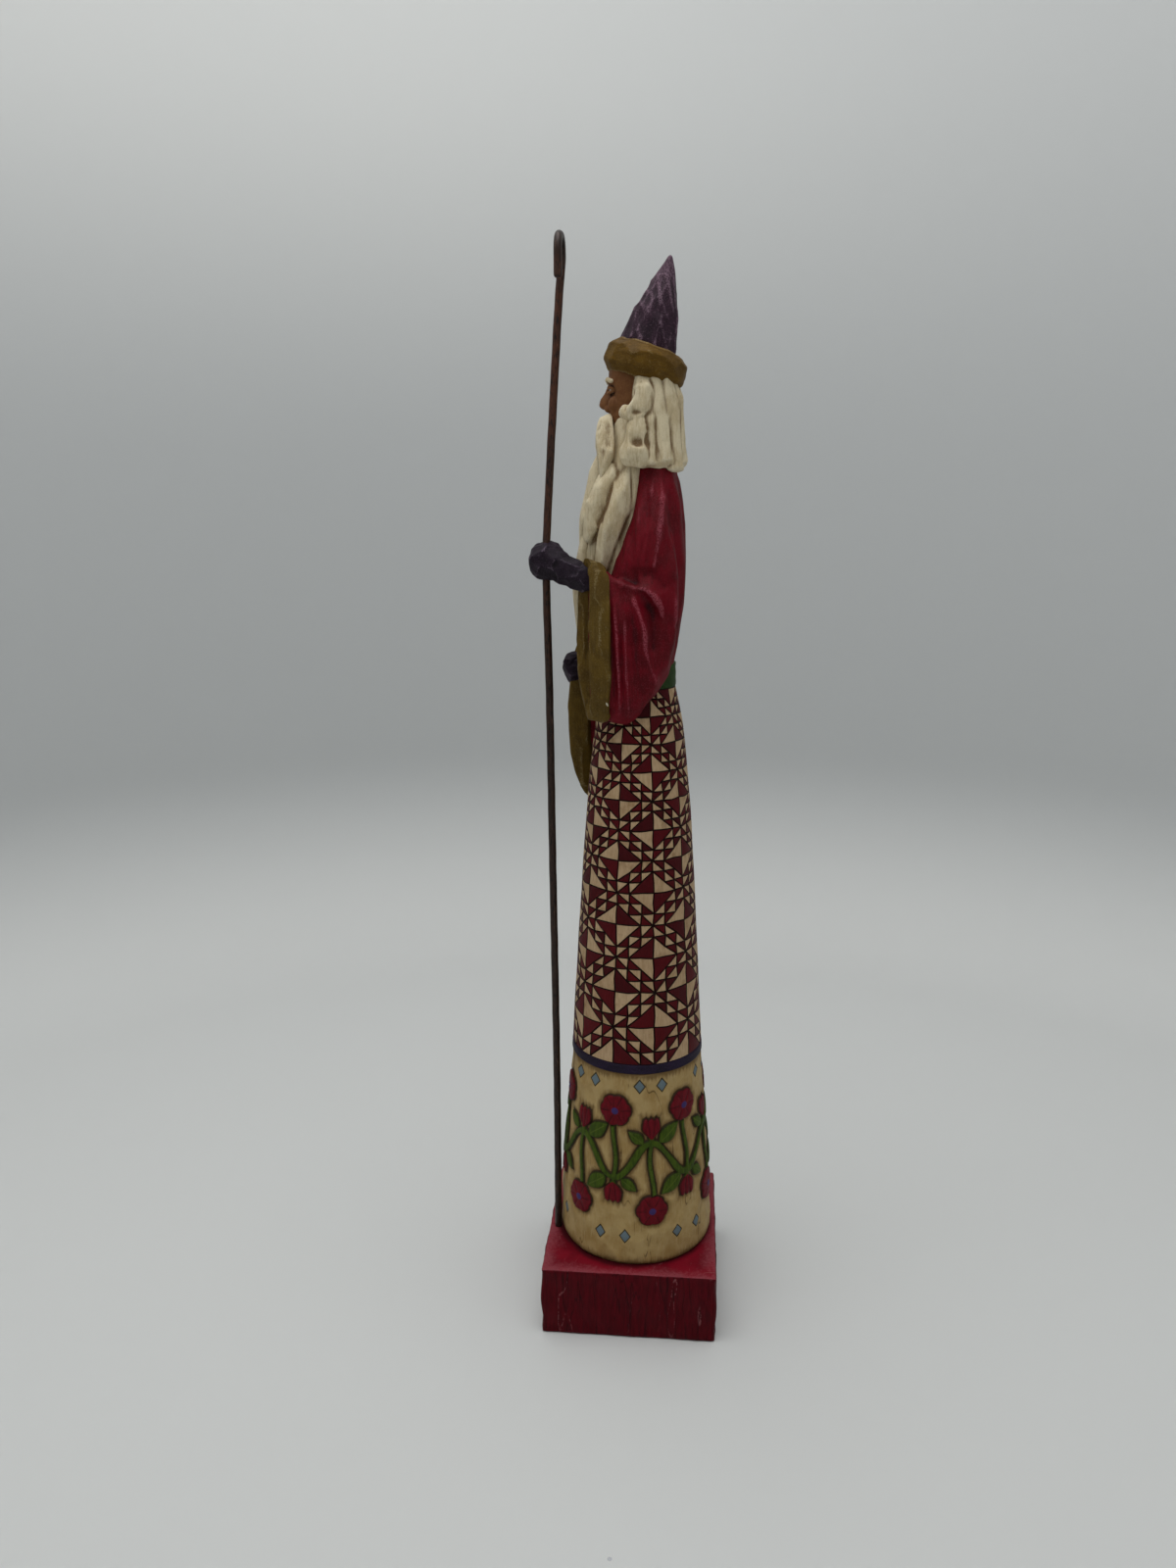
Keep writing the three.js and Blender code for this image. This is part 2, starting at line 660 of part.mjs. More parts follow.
// A hand-cut block: its sides wave a little, and its edges are rubbed.
function block() {
  const rows = BLOCK_LEVELS.length - 1;
  const box = new THREE.BoxGeometry(BLOCK_WIDE, BLOCK_DEEP, rows, BLOCK_CELLS, BLOCK_CELLS, rows);
  box.deleteAttribute('normal');
  box.deleteAttribute('uv');
  const cut = mergeVertices(box);
  const place = cut.attributes.position;
  for (let i = 0; i < place.count; i += 1) {
    const level = Math.round(place.getZ(i) + rows / 2);
    const x = place.getX(i);
    const y = place.getY(i);
    const z = BLOCK_LEVELS[level];
    const rubbed = level === 0 || level === rows ? BLOCK_RUB : 0;
    const pull = rubbed + BLOCK_WAVE * Math.sin(0.23 * (x + y) + 0.31 * z + Math.sign(x + 2 * y));
    const sideX = Math.abs(Math.abs(x) - BLOCK_WIDE / 2) < 1e-3 ? pull * Math.sign(x) : 0;
    const sideY = Math.abs(Math.abs(y) - BLOCK_DEEP / 2) < 1e-3 ? pull * Math.sign(y) : 0;
    place.setXYZ(i, x - sideX, y - sideY, z);
  }
  return solid(cut).subtract(wayThrough(BLOCK_HIGH - SOCKET_DEEP, BLOCK_HIGH + 2, CLEARANCE));
}

// The whole figurine

function figure() {
  const sleeves = [LEFT_SLEEVE, RIGHT_SLEEVE];
  const cloth = join([robe(), border(), belt(), coatBody(), upperArm(1, 310), upperArm(-1, 300),
    ...sleeves.map(sleeveBody), elbowFold(LEFT_SLEEVE), ...sleeves.map(cuffBand)]);
  const hollowed = sleeves.map(mouthHollow).reduce((body, hollow) => body.subtract(hollow), cloth);
  const locks = [MOUSTACHE, ...SIDE_LOCKS].flatMap(pairOf);
  const whole = join([hollowed, leftHand(), rightHand(), beard(), hair(), ...locks, head(), brim(), hat()]);
  return whole.subtract(wayThrough(318, 340, CLEARANCE));
}

function piece(name, geometry, colour, roughness, metalness) {
  const material = new THREE.MeshStandardMaterial({ color: colour, roughness, metalness });
  const mesh = new THREE.Mesh(geometry, material);
  mesh.name = name;
  return mesh;
}

const santa = new THREE.Group();
santa.add(piece('figure', geometryOf(figure()), 0x8c2333, 0.7, 0));
santa.add(piece('base_block', geometryOf(block()), 0x9c1f3a, 0.65, 0));
const bowed = new StaffLine(BLOCK_HIGH - SOCKET_DEEP + CLEARANCE);
santa.add(piece('staff', rod(bowed, ROD_RADIUS, ROD_STEPS), 0x6b4434, 0.45, 0.6));

export default santa;
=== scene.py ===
# %% [markdown]
# # A santa figurine in painted resin
# The real object is a tall, slim santa, cast in resin from a hand-carved original, painted,
# antiqued with brown in the cuts and dry-brushed with pale paint on the ridges. It stands on
# a red block and holds a bowed metal rod. This lesson rebuilds it piece by piece in Blender.
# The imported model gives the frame: every piece sits where its solid says.

import bmesh
import bpy
import numpy as np
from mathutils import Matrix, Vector


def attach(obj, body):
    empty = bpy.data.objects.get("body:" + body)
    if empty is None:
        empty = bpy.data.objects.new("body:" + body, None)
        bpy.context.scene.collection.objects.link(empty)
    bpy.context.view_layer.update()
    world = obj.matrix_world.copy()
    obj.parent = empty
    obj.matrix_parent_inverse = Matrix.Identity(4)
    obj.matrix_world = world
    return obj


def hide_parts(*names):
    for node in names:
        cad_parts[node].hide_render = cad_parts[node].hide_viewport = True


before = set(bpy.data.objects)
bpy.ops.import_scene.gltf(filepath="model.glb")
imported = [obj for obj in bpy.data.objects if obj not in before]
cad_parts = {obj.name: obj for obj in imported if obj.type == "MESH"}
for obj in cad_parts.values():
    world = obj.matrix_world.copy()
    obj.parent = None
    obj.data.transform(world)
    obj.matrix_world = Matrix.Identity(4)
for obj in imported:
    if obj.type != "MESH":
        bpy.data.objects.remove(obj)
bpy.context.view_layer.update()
bpy.ops.object.select_all(action="DESELECT")

# %% [markdown]
# Sizes are in millimetres, as a maker would write them, and turned into Blender's metres
# only when points are written to a mesh. The robe, belt, brim and staff repeat the sizes of
# the solids, so that the finish wraps exactly what carries it.

# %% Sizes
MM = 0.001
BLOCK_WIDE, BLOCK_DEEP, BLOCK_HIGH = 82.8, 75.4, 31.0
AXIS_Y = 1.2
ROBE_WIDEN = 1.03
HEM_TUCK = 0.7
BORDER_TOP = 117.7
STRIPE_TOP = 121.9
BELT_LOW, BELT_HIGH, BELT_RADIUS = 277.6, 288.4, 15.0
ROD_RADIUS = 1.6
STAFF_X = 9.0
HOOK_RADIUS, HOOK_DROP = 6.9, 9.0
SOCKET_FLOOR = 24.9
BRIM_CENTRE, BRIM_TILT = (0.0, 2.8, 403.2), np.radians(-18)
BRIM_RADIUS, BRIM_THICK = 16.3, 11.8
TURN = 2 * np.pi

# %% [markdown]
# ## Helpers for shapes
# A carved figure has few straight lines, so most outlines are smooth curves through a few
# measured points. `through` makes such a curve, and works on whole arrays at once.

# %% Curves through measured points
def through(*pairs):
    """A smooth curve through (place, value) pairs, level beyond its ends."""
    places, values = np.array(pairs, float).T
    order = np.arange(len(places))
    before, after = np.maximum(order - 1, 0), np.minimum(order + 1, len(places) - 1)
    slopes = (values[after] - values[before]) / (places[after] - places[before])

    def at(place):
        place = np.asarray(place, float)
        i = np.clip(np.searchsorted(places, place, side="right") - 1, 0, len(places) - 2)
        wide = places[i + 1] - places[i]
        t = np.clip((place - places[i]) / wide, 0, 1)
        back = 1 - t
        ends = values[i] * (1 + 2 * t) * back**2 + values[i + 1] * t**2 * (3 - 2 * t)
        return ends + wide * (slopes[i] * t * back**2 - slopes[i + 1] * t**2 * back)

    return at


def blend_step(value, low, high):
    """0 below low, 1 above high, and a smooth ramp between."""
    t = np.clip((np.asarray(value, float) - low) / (high - low), 0, 1)
    return t * t * (3 - 2 * t)


robe_radius = through((33, 33.9), (62, 32.7), (101, 29.4), (148, 26.7), (190, 24.2), (230, 21.4),
                      (262, 18), (280, 14.4))
print("robe radius at hem, middle and belt:", [round(float(robe_radius(z)), 1) for z in (33, 150, 278)])

# %% [markdown]
# Every mesh is read and written as one array of points, which is quick even for a hundred
# thousand vertices.

# %% Points in and out of a mesh
def points(piece):
    flat = np.empty(len(piece.data.vertices) * 3)
    piece.data.vertices.foreach_get("co", flat)
    return flat.reshape(-1, 3) / MM


def put(piece, places):
    piece.data.vertices.foreach_set("co", (np.asarray(places) * MM).ravel())
    piece.data.update()


def normals(piece):
    flat = np.empty(len(piece.data.vertices) * 3)
    piece.data.vertices.foreach_get("normal", flat)
    return flat.reshape(-1, 3)


def edges_of(piece):
    flat = np.empty(len(piece.data.edges) * 2, int)
    piece.data.edges.foreach_get("vertices", flat)
    return flat.reshape(-1, 2).T


def mark(piece, name, values, domain="POINT"):
    """Keep one number for each vertex or face, for the paint to read."""
    known = piece.data.attributes.get(name)
    if known:
        piece.data.attributes.remove(known)
    attribute = piece.data.attributes.new(name, "FLOAT", domain)
    attribute.data.foreach_set("value", np.asarray(values, np.float32))


def named(name):
    """The object that was made last, under this name."""
    piece = bpy.context.object
    piece.name = piece.data.name = name
    return piece


def only(*pieces):
    """Select these pieces alone, the last of them active."""
    bpy.ops.object.select_all(action="DESELECT")
    for piece in pieces:
        piece.select_set(True)
    bpy.context.view_layer.objects.active = pieces[-1]


def smooth_shaded(piece, angle=40):
    only(piece)
    bpy.ops.object.shade_smooth_by_angle(angle=np.radians(angle))
    bpy.ops.object.select_all(action="DESELECT")

# %% [markdown]
# Most of the figure's forms are like a rolled sheet: a flat grid whose left and right edges
# meet. A grid primitive is added, each of its points is sent to its place round and along
# the form, the seam is merged and the two ends are filled.

# %% Roll a grid into a closed form
def sheet(name, sides, rows, place):
    """A grid whose points place(turn, way) gives, for arrays of both."""
    bpy.ops.mesh.primitive_grid_add(x_subdivisions=sides, y_subdivisions=rows, size=2)
    piece = named(name)
    grid = points(piece) * MM
    put(piece, place(np.pi * (grid[:, 0] + 1), (grid[:, 1] + 1) / 2))
    return piece


def rolled(name, sides, rows, place):
    piece = sheet(name, sides, rows, place)
    close(piece)
    return piece


def close(piece):
    only(piece)
    bpy.ops.object.mode_set(mode="EDIT")
    bpy.ops.mesh.select_all(action="SELECT")
    bpy.ops.mesh.remove_doubles(threshold=1e-6)
    bpy.ops.mesh.fill_holes(sides=0)
    bpy.ops.mesh.select_all(action="SELECT")
    bpy.ops.mesh.normals_make_consistent(inside=False)
    bpy.ops.object.mode_set(mode="OBJECT")
    bpy.ops.object.select_all(action="DESELECT")


def power(value, exponent):
    return np.sign(value) * np.abs(value) ** exponent


def unit(arrows):
    return arrows / np.linalg.norm(arrows, axis=1)[:, None]


def beside(centre, way, step, outward, side, out):
    """Points beside a curve: this far across it, and this far out the way it faces."""
    inner = np.clip(way, step, 1 - step)
    tangent = unit(centre(inner + step) - centre(inner - step))
    across = unit(np.cross(tangent, outward))
    return centre(way) + across * side[:, None] + np.cross(across, tangent) * out[:, None]


def round_robe(radius, turn, z, widen=ROBE_WIDEN):
    """Points round the robe's axis, drawn out a little from side to side."""
    return np.stack([widen * radius * np.cos(turn), AXIS_Y + radius * np.sin(turn), z], 1)

# %% [markdown]
# Arms, fingers and locks of hair are limbs: an oval section that runs along a curve, wide
# across it and deep along the way it faces. A keel over 1 draws the section out to a ridge,
# one under 1 squares it like a plank, and the ends are rounded over the share in `ends`.

# %% Limbs along a curve
def limb(name, line, faces, wide, deep, keel=1.0, ends=(0.08, 0.08), sides=20, rows=36):
    """Half widths and half depths are (way, size) pairs from the line's start to its end."""
    line = np.array(line, float)
    axes = [through(*enumerate(column)) for column in line.T]
    wide, deep = through(*wide), through(*deep)
    outward = np.array(faces, float) / np.linalg.norm(faces)

    def centre(way):
        return np.stack([axis(way * (len(line) - 1)) for axis in axes], 1)

    def place(turn, way):
        start = np.clip(way / ends[0], 0, 1)
        end = np.clip((1 - way) / ends[1], 0, 1)
        cap = np.sqrt(1 - (1 - np.minimum(start, end)) ** 2)
        cos = power(np.cos(turn), keel) * wide(way) * cap
        sin = power(np.sin(turn), keel) * deep(way) * cap
        return beside(centre, way, 0.004, outward, cos, sin)

    return rolled(name, sides, rows, place)


def stacked(name, low, high, half, front, back, square=0.0, sides=48, rows=60):
    """Ovals one above another, each between a front and a back; square fills their corners."""
    def place(turn, way):
        z = low + (high - low) * way
        cos, sin = np.cos(turn), np.sin(turn)
        reach = 1 + square * (cos * sin) ** 2
        middle, deep = (front(z) + back(z)) / 2, (back(z) - front(z)) / 2
        return np.stack([half(z) * cos * reach, middle + deep * sin * reach, z], 1)

    return rolled(name, sides, rows, place)


def sided(side, *line):
    """The line on the figure's left for side 1, and its mirror image for side -1."""
    return [(side * x, y, z) for x, y, z in line]

# %% [markdown]
# Forms that were carved from one block have no seam between them. They are joined, and a
# voxel Remesh gives one even skin round them all, which a few rounds of smoothing soften
# like wet clay. It also gives the small, even faces that the knife marks need.

# %% Fuse forms into one skin
def applied(piece, kind, **settings):
    modifier = piece.modifiers.new(kind, kind)
    for key, value in settings.items():
        setattr(modifier, key, value)
    bpy.ops.object.modifier_apply(modifier=modifier.name)


def fused(name, pieces, voxel, rounds):
    only(*pieces)
    bpy.ops.object.join()
    piece = named(name)
    applied(piece, "REMESH", mode="VOXEL", voxel_size=voxel * MM)
    applied(piece, "SMOOTH", factor=0.5, iterations=rounds)
    bpy.ops.object.select_all(action="DESELECT")
    print(name, "has", len(piece.data.polygons), "faces")
    return piece

# %% [markdown]
# ## Helpers for carving
# A gouge leaves shallow scoops with ridges between them. Scoop centres are spread over the
# surface, and every point is lifted by the square of its distance to the nearest centre, so
# it lies low in a scoop and high on a ridge. Stretching space along Z makes long strokes.
# A knife leaves flat planes instead: the points round each centre are pressed to one plane.

# %% Knife and gouge marks
def nearest(places, centres):
    """The squared distance of each place to its nearest centre, and which one that is."""
    best = np.full(len(places), np.inf)
    which = np.zeros(len(places), int)
    for i, centre in enumerate(centres):
        gap = ((places - centre) ** 2).sum(1)
        closer = gap < best
        best[closer] = gap[closer]
        which[closer] = i
    return best, which


def neighbour_mean(values, ends):
    """The mean over each point's neighbours, of one number a point or of three."""
    if values.ndim > 1:
        return np.stack([neighbour_mean(column, ends) for column in values.T], 1)
    a, b = ends
    count = len(values)
    total = np.bincount(a, values[b], count) + np.bincount(b, values[a], count)
    return total / np.maximum(np.bincount(a, minlength=count) + np.bincount(b, minlength=count), 1)


def cuts_over(piece, rng, spacing, stretch):
    """Spread cuts a spacing apart: each point's nearest cut, its squared gap, and the count."""
    scaled = points(piece) / (spacing * np.array(stretch))
    tries = scaled[rng.permutation(len(scaled))[:2500]]
    centres = tries[:1]
    for place in tries[1:]:
        if ((centres - place) ** 2).sum(1).min() > 0.8:
            centres = np.vstack([centres, place])
    best, which = nearest(scaled, centres)
    return which, best, len(centres)


def gouge(piece, seed, spacing, depth, stretch=(1, 1, 1), where=None):
    """Scoops a spacing apart and depth deep; where(places) may weaken them."""
    places, ends = points(piece), edges_of(piece)
    rng = np.random.default_rng(seed)
    which, best, count = cuts_over(piece, rng, spacing, stretch)
    bold = rng.uniform(0.6, 1.25, count)[which]
    lift = depth * (np.minimum(best, 0.8) * bold - 0.2)
    lift = neighbour_mean(neighbour_mean(lift, ends), ends)
    if where is not None:
        lift = lift * where(places)
    put(piece, places + normals(piece) * lift[:, None])
    print(f"{piece.name}: {count} cuts, {spacing} mm apart")


DEEPEST_CUT = 1.2


def facet(piece, seed, spacing, share, stretch=(1, 1, 1), where=None):
    """Flat knife cuts: the points round each cut are pressed a share of the way to its plane."""
    places, out, ends = points(piece), normals(piece), edges_of(piece)
    which, _, count = cuts_over(piece, np.random.default_rng(seed), spacing, stretch)
    held = np.maximum(np.bincount(which, minlength=count), 1)[:, None]
    middle, facing = (np.stack([np.bincount(which, column, count) for column in values.T], 1) / held
                      for values in (places, out))
    facing = (facing / np.maximum(np.linalg.norm(facing, axis=1), 1e-6)[:, None])[which]
    proud = np.clip(((places - middle[which]) * facing).sum(1), -DEEPEST_CUT, DEEPEST_CUT)
    press = share * blend_step((out * facing).sum(1), 0.2, 0.7)
    if where is not None:
        press = press * where(places)
    put(piece, places + neighbour_mean(-facing * (proud * press)[:, None], ends))

# %% [markdown]
# The painter's work follows the relief: brown stays in the cuts, pale paint catches on the
# ridges. `relief` measures that for the paint. It smooths a copy of the surface and keeps
# how far each real point stands proud of it, as a share of what the boldest ridges do.

# %% Measure ridges and cuts
def relief(piece, name, rounds):
    """How proud each point stands: 0 is level, and 1 is as high as the boldest ridges."""
    places, ends = points(piece), edges_of(piece)
    calm = places
    for _ in range(rounds):
        calm = 0.4 * calm + 0.6 * neighbour_mean(calm, ends)
    proud = ((places - calm) * normals(piece)).sum(1)
    proud -= np.median(proud)
    scale = np.percentile(np.abs(proud), 93)
    mark(piece, name, proud / scale)
    print(f"{piece.name}: {name} 1.0 is {scale:.2f} mm")


def worn(piece, angle=60, broad=40, fine=7):
    """Measure the broad relief and the crests of the cuts, and shade the piece smooth."""
    relief(piece, "relief", broad)
    relief(piece, "crest", fine)
    smooth_shaded(piece, angle)


def wear(piece, material):
    piece.data.materials.clear()
    piece.data.materials.append(material)


def dress(piece, material, node="figure"):
    """The piece dresses this solid, and wears the material."""
    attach(piece, "root")
    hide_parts(node)
    wear(piece, material)

# %% [markdown]
# ## Helpers for paint
# Shader maths is easier to read as Python. `Socket` wraps one output of a node, and each
# operator adds the Math node that works it out. `Paint` holds one material's nodes.

# %% Sockets that Python can add and multiply
class Socket:
    def __init__(self, paint, socket):
        self.paint, self.socket = paint, socket

    def _math(self, operation, *values):
        return self.paint.add("ShaderNodeMath", {"operation": operation}, *values)

    def __add__(self, other):
        return self._math("ADD", self, other)

    def __sub__(self, other):
        return self._math("SUBTRACT", self, other)

    def __rsub__(self, other):
        return self._math("SUBTRACT", other, self)

    def __mul__(self, other):
        return self._math("MULTIPLY", self, other)

    def __abs__(self):
        return self._math("ABSOLUTE", self)

    def least(self, other):
        return self._math("MINIMUM", self, other)

    def most(self, other):
        return self._math("MAXIMUM", self, other)

    def over(self, low, high):
        """0 where this is under low, 1 where it is over high, and a ramp between."""
        settings = {"interpolation_type": "SMOOTHSTEP"}
        return self.paint.add("ShaderNodeMapRange", settings, self, low, high, 0.0, 1.0)

    def under(self, low, high):
        """1 where this is under low, 0 where it is over high, and a ramp between."""
        return 1 - self.over(low, high)


def rgb(red, green, blue):
    """A colour as a painter's chart gives it, 0 to 255, for Blender's linear sockets."""
    share = np.array([red, green, blue]) / 255
    linear = np.where(share <= 0.04045, share / 12.92, ((share + 0.055) / 1.055) ** 2.4)
    return (*[float(c) for c in linear], 1.0)


BUMP_DEEP = 0.2
MATT = 0.14


class Paint:
    def __init__(self, name, specular=MATT):
        self.material = bpy.data.materials.new(name)
        self.material.use_nodes = True
        self.tree = self.material.node_tree
        self.shader = self.tree.nodes["Principled BSDF"]
        self.shader.inputs["Specular IOR Level"].default_value = specular
        self.places = self.add("ShaderNodeTexCoord", {}, out="Object")

    def add(self, kind, settings, *values, out=0, **named):
        """A node of this kind: its settings first, then the values or links of its sockets."""
        node = self.tree.nodes.new(kind)
        for key, value in settings.items():
            setattr(node, key, value)
        for key, value in [*enumerate(values), *named.items()]:
            socket = node.inputs[key]
            if isinstance(value, Socket):
                self.tree.links.new(value.socket, socket)
            elif value is not None:
                socket.default_value = value
        return Socket(self, node.outputs[out])

    def coats(self, colour, *layers):
        """Layers over a colour: each is a colour, 0 to 255, and the share of it that shows."""
        for layer, share in layers:
            pair = [c if isinstance(c, Socket) else rgb(*c) for c in (colour, layer)]
            colour = self.add("ShaderNodeMix", {"data_type": "RGBA"}, share, *[None] * 5, *pair, out=2)
        return colour

    def attribute(self, name):
        return self.add("ShaderNodeAttribute", {"attribute_name": name}, out="Fac")

    def axis(self, letter):
        """The place along one axis, in millimetres."""
        return self.add("ShaderNodeSeparateXYZ", {}, self.places, out=letter) * 1000

    def thread(self, size, stretch, width, shift=0.0, detail=1.0):
        """1 along thin wandering lines, 0 elsewhere."""
        wander = self.noise(size, stretch, detail, 0.5, shift) - 0.5
        return abs(wander).under(0.0, width)

    def noise(self, size, stretch=(1, 1, 1), detail=3.0, rough=0.55, shift=0.0):
        """Noise whose lumps are size millimetres across, stretched along an axis."""
        scale = tuple(1 / (size * MM * s) for s in stretch)
        moved = self.add("ShaderNodeMapping", {}, self.places, (shift, shift, shift), (0, 0, 0), scale)
        return self.add("ShaderNodeTexNoise", {}, moved, Scale=1.0, Detail=detail, Roughness=rough)

    def finish(self, colour, roughness, height=None, strength=0.4):
        """Link what varies into the shader; height bumps the surface a little."""
        for name, value in (("Base Color", colour), ("Roughness", roughness)):
            if isinstance(value, Socket):
                self.tree.links.new(value.socket, self.shader.inputs[name])
            else:
                self.shader.inputs[name].default_value = value
        if height is not None:
            bump = self.add("ShaderNodeBump", {}, Strength=strength, Distance=BUMP_DEEP * MM,
                            Height=height, out="Normal")
            self.tree.links.new(bump.socket, self.shader.inputs["Normal"])
        return self.material

# %% [markdown]
# Nearly every surface is painted in the same four steps: a ground colour that varies a
# little, brown or black rubbed into the cuts, a paler colour dry-brushed along the ridges in
# streaks, and a fine speckle. So one function mixes them, and each piece gives its colours.

# %% Antiqued and dry-brushed paint
CHIP_COLOUR = (214, 204, 180)


def antiqued(name, ground, other, deep, pale, cuts, ridges, streak, brush, speckle, mottle=0.2,
             chip=False):
    """deep fills what lies lower than cuts, and pale catches on what stands higher than ridges."""
    paint = Paint(name)
    cloud = paint.noise(9, detail=4)
    fine = paint.noise(0.55, detail=2, rough=0.7)
    strokes = paint.noise(0.8, stretch=streak, detail=4, rough=0.65)
    height, crest = paint.attribute("relief"), paint.attribute("crest")
    shadow = ((0 - height) + (strokes - 0.5) * 0.9).over(*cuts)
    dabs = (crest + (strokes - 0.5) * 1.6 + height * 0.25).over(*ridges) * fine.over(0.35, 0.6)
    dots = paint.noise(0.42, detail=1, shift=7.0).over(0.58, 0.72)
    colour = paint.coats(ground, (other, (cloud * 0.6 + strokes * 0.4).over(0.4, 0.6)),
                         (deep, shadow * 0.9), (pale, dabs * brush),
                         (pale, fine.over(0.52, 0.8) * mottle),
                         (deep, fine.under(0.2, 0.44) * (mottle * 1.6)),
                         (pale, dots * speckle * cloud.over(0.3, 0.6)))
    if chip:
        colour = paint.coats(CHIP_COLOUR, (colour, paint.attribute("chip").over(0.55, 0.75)))
    return paint.finish(colour, fine * 0.16 + 0.54, strokes * 0.6 + fine * 0.5, strength=0.6)

print("the chip's colour:", CHIP_COLOUR)

# %% [markdown]
# ## The camera
# The photo was taken a little above the figurine's middle and from its left side. The
# camera's place, heading and tilt were worked out once from the block's corners.

# %% Camera
CAMERA_PLACE = (0.4688, 0.0230, 0.3437)
CAMERA_HEADING = (-0.9958, -0.0918)
CAMERA_PITCH, CAMERA_ROLL = np.radians(12.91), np.radians(-0.21)
FOCAL_PIXELS, PHOTO_HIGH, SENSOR = 1165, 1600, 36


def camera():
    bpy.ops.object.camera_add(location=CAMERA_PLACE)
    eye = bpy.context.object
    ahead = Vector((*(np.array(CAMERA_HEADING) * np.cos(CAMERA_PITCH)), -np.sin(CAMERA_PITCH)))
    eye.rotation_euler = ahead.to_track_quat("-Z", "Y").to_euler()
    eye.rotation_euler.rotate_axis("Z", CAMERA_ROLL)
    eye.data.lens = SENSOR * FOCAL_PIXELS / PHOTO_HIGH
    eye.data.clip_start = 0.01
    bpy.context.scene.camera = eye
    bpy.context.scene.view_settings.view_transform = "Standard"


camera()
print("lens:", round(bpy.context.scene.camera.data.lens, 2), "mm")

# %% [markdown]
# ## The robe's quilted part
# The robe is carved all round with a traditional quilt block of triangles, cream and dark
# red, with a V-shaped groove between all patches. A flat grid stands for the cloth laid
# out: its squares are cut along one diagonal, the big triangles are merged again, each
# patch is inset and raised, and at last the cloth is rolled round the robe.

# %% Lay out the quilt
QUILT_COLUMNS = 10
QUILT_ROWS = (278.1, 267.6, 256.7, 245.4, 233.8, 221.8, 209.3, 195.9, 182.3, 168.3, 153.6, 138.1, 121.9)
PLAIN_ROW = 7
GROOVE_HALF, PATCH_RAISED, PATCH_SWAY = 0.31, 0.42, 0.07
LAID_ROUND = 150.0

columns, rows = 3 * QUILT_COLUMNS, 3 * (len(QUILT_ROWS) - 1)
quilt_height = through(*[(rows - 3 * i, z) for i, z in reversed(list(enumerate(QUILT_ROWS)))])


def patch_of(x, down):
    """Which patch of the quilt holds a place counted in small squares, and its colour."""
    column, row = int(x // 3), int(down // 3)
    u, v = x - 3 * column, down - 3 * row
    flip_x, flip_v = column % 2, (row - PLAIN_ROW) % 2
    u = 3 - u if flip_x else u
    v = 3 - v if flip_v else v
    upper = u - int(u) > v - int(v)
    if u - v > 1:
        part, cream = "big upper", True
    elif v - u > 1:
        part, cream = "big lower", False
    else:
        part, cream = f"{int(u)} {int(v)} {upper}", upper
    return f"{column} {row} {part}", cream != bool((flip_x + flip_v) % 2)


def slopes_down(x, down):
    """Whether a small square is cut from its upper left to its lower right."""
    return (int(x // 3) + int(down // 3) - PLAIN_ROW) % 2 == 0

# %% Cut, merge, inset and raise the patches
def quilt_cloth():
    def place(turn, way):
        return np.stack([turn / TURN * columns, way * rows, 0 * way], 1) / MM

    cloth = sheet("robe_quilt", columns, rows, place)
    bpy.ops.object.mode_set(mode="EDIT")
    bpy.ops.mesh.select_mode(type="FACE")
    for down_right, method in ((True, "FIXED_ALTERNATE"), (False, "FIXED")):
        mesh = bmesh.from_edit_mesh(cloth.data)
        for face in mesh.faces:
            middle = face.calc_center_median()
            square = len(face.verts) == 4
            face.select = square and slopes_down(middle.x, rows - middle.y) == down_right
        mesh.select_flush_mode()
        bmesh.update_edit_mesh(cloth.data)
        bpy.ops.mesh.quads_convert_to_tris(quad_method=method)
    return cloth


def merge_big_triangles(cloth):
    bpy.ops.mesh.select_mode(type="EDGE")
    bpy.ops.mesh.select_all(action="DESELECT")
    mesh = bmesh.from_edit_mesh(cloth.data)
    for edge in mesh.edges:
        middles = [face.calc_center_median() for face in edge.link_faces]
        names = {patch_of(m.x, rows - m.y)[0] for m in middles}
        edge.select = len(middles) == 2 and len(names) == 1
    bmesh.update_edit_mesh(cloth.data)
    bpy.ops.mesh.dissolve_edges(use_verts=False)


def raise_patches(cloth):
    """Colour each patch, then inset and lift it; what stays low is the groove."""
    mesh = bmesh.from_edit_mesh(cloth.data)
    cream = mesh.faces.layers.float.new("cream")
    tone = mesh.faces.layers.float.new("tone")
    mesh.faces.layers.float.new("groove")
    rng = np.random.default_rng(11)
    sway = rng.uniform(-1, 1, (columns, rows + 1, 2)) * PATCH_SWAY
    for face in mesh.faces:
        middle = face.calc_center_median()
        face[cream] = float(patch_of(middle.x, rows - middle.y)[1])
        face[tone] = rng.uniform(0, 1)
    for vert in mesh.verts:
        column, row = round(vert.co.x), round(vert.co.y)
        inside = 0 < row < rows
        shift = sway[column % columns, row] * inside
        height = float(quilt_height(row + shift[1]))
        vert.co = Vector(((column + shift[0]) / columns * LAID_ROUND, height, 0)) * MM
    bmesh.update_edit_mesh(cloth.data)
    bpy.ops.mesh.select_mode(type="FACE")
    bpy.ops.mesh.select_all(action="SELECT")
    bpy.ops.mesh.inset(use_individual=True, thickness=GROOVE_HALF * MM, depth=PATCH_RAISED * MM)
    mesh = bmesh.from_edit_mesh(cloth.data)
    groove = mesh.faces.layers.float["groove"]
    for face in mesh.faces:
        face[groove] = 0.0 if face.select else 1.0
    bmesh.update_edit_mesh(cloth.data)
    bpy.ops.mesh.select_all(action="SELECT")
    bpy.ops.mesh.quads_convert_to_tris(quad_method="BEAUTY", ngon_method="BEAUTY")
    bpy.ops.mesh.subdivide(number_cuts=1)
    bpy.ops.object.mode_set(mode="OBJECT")

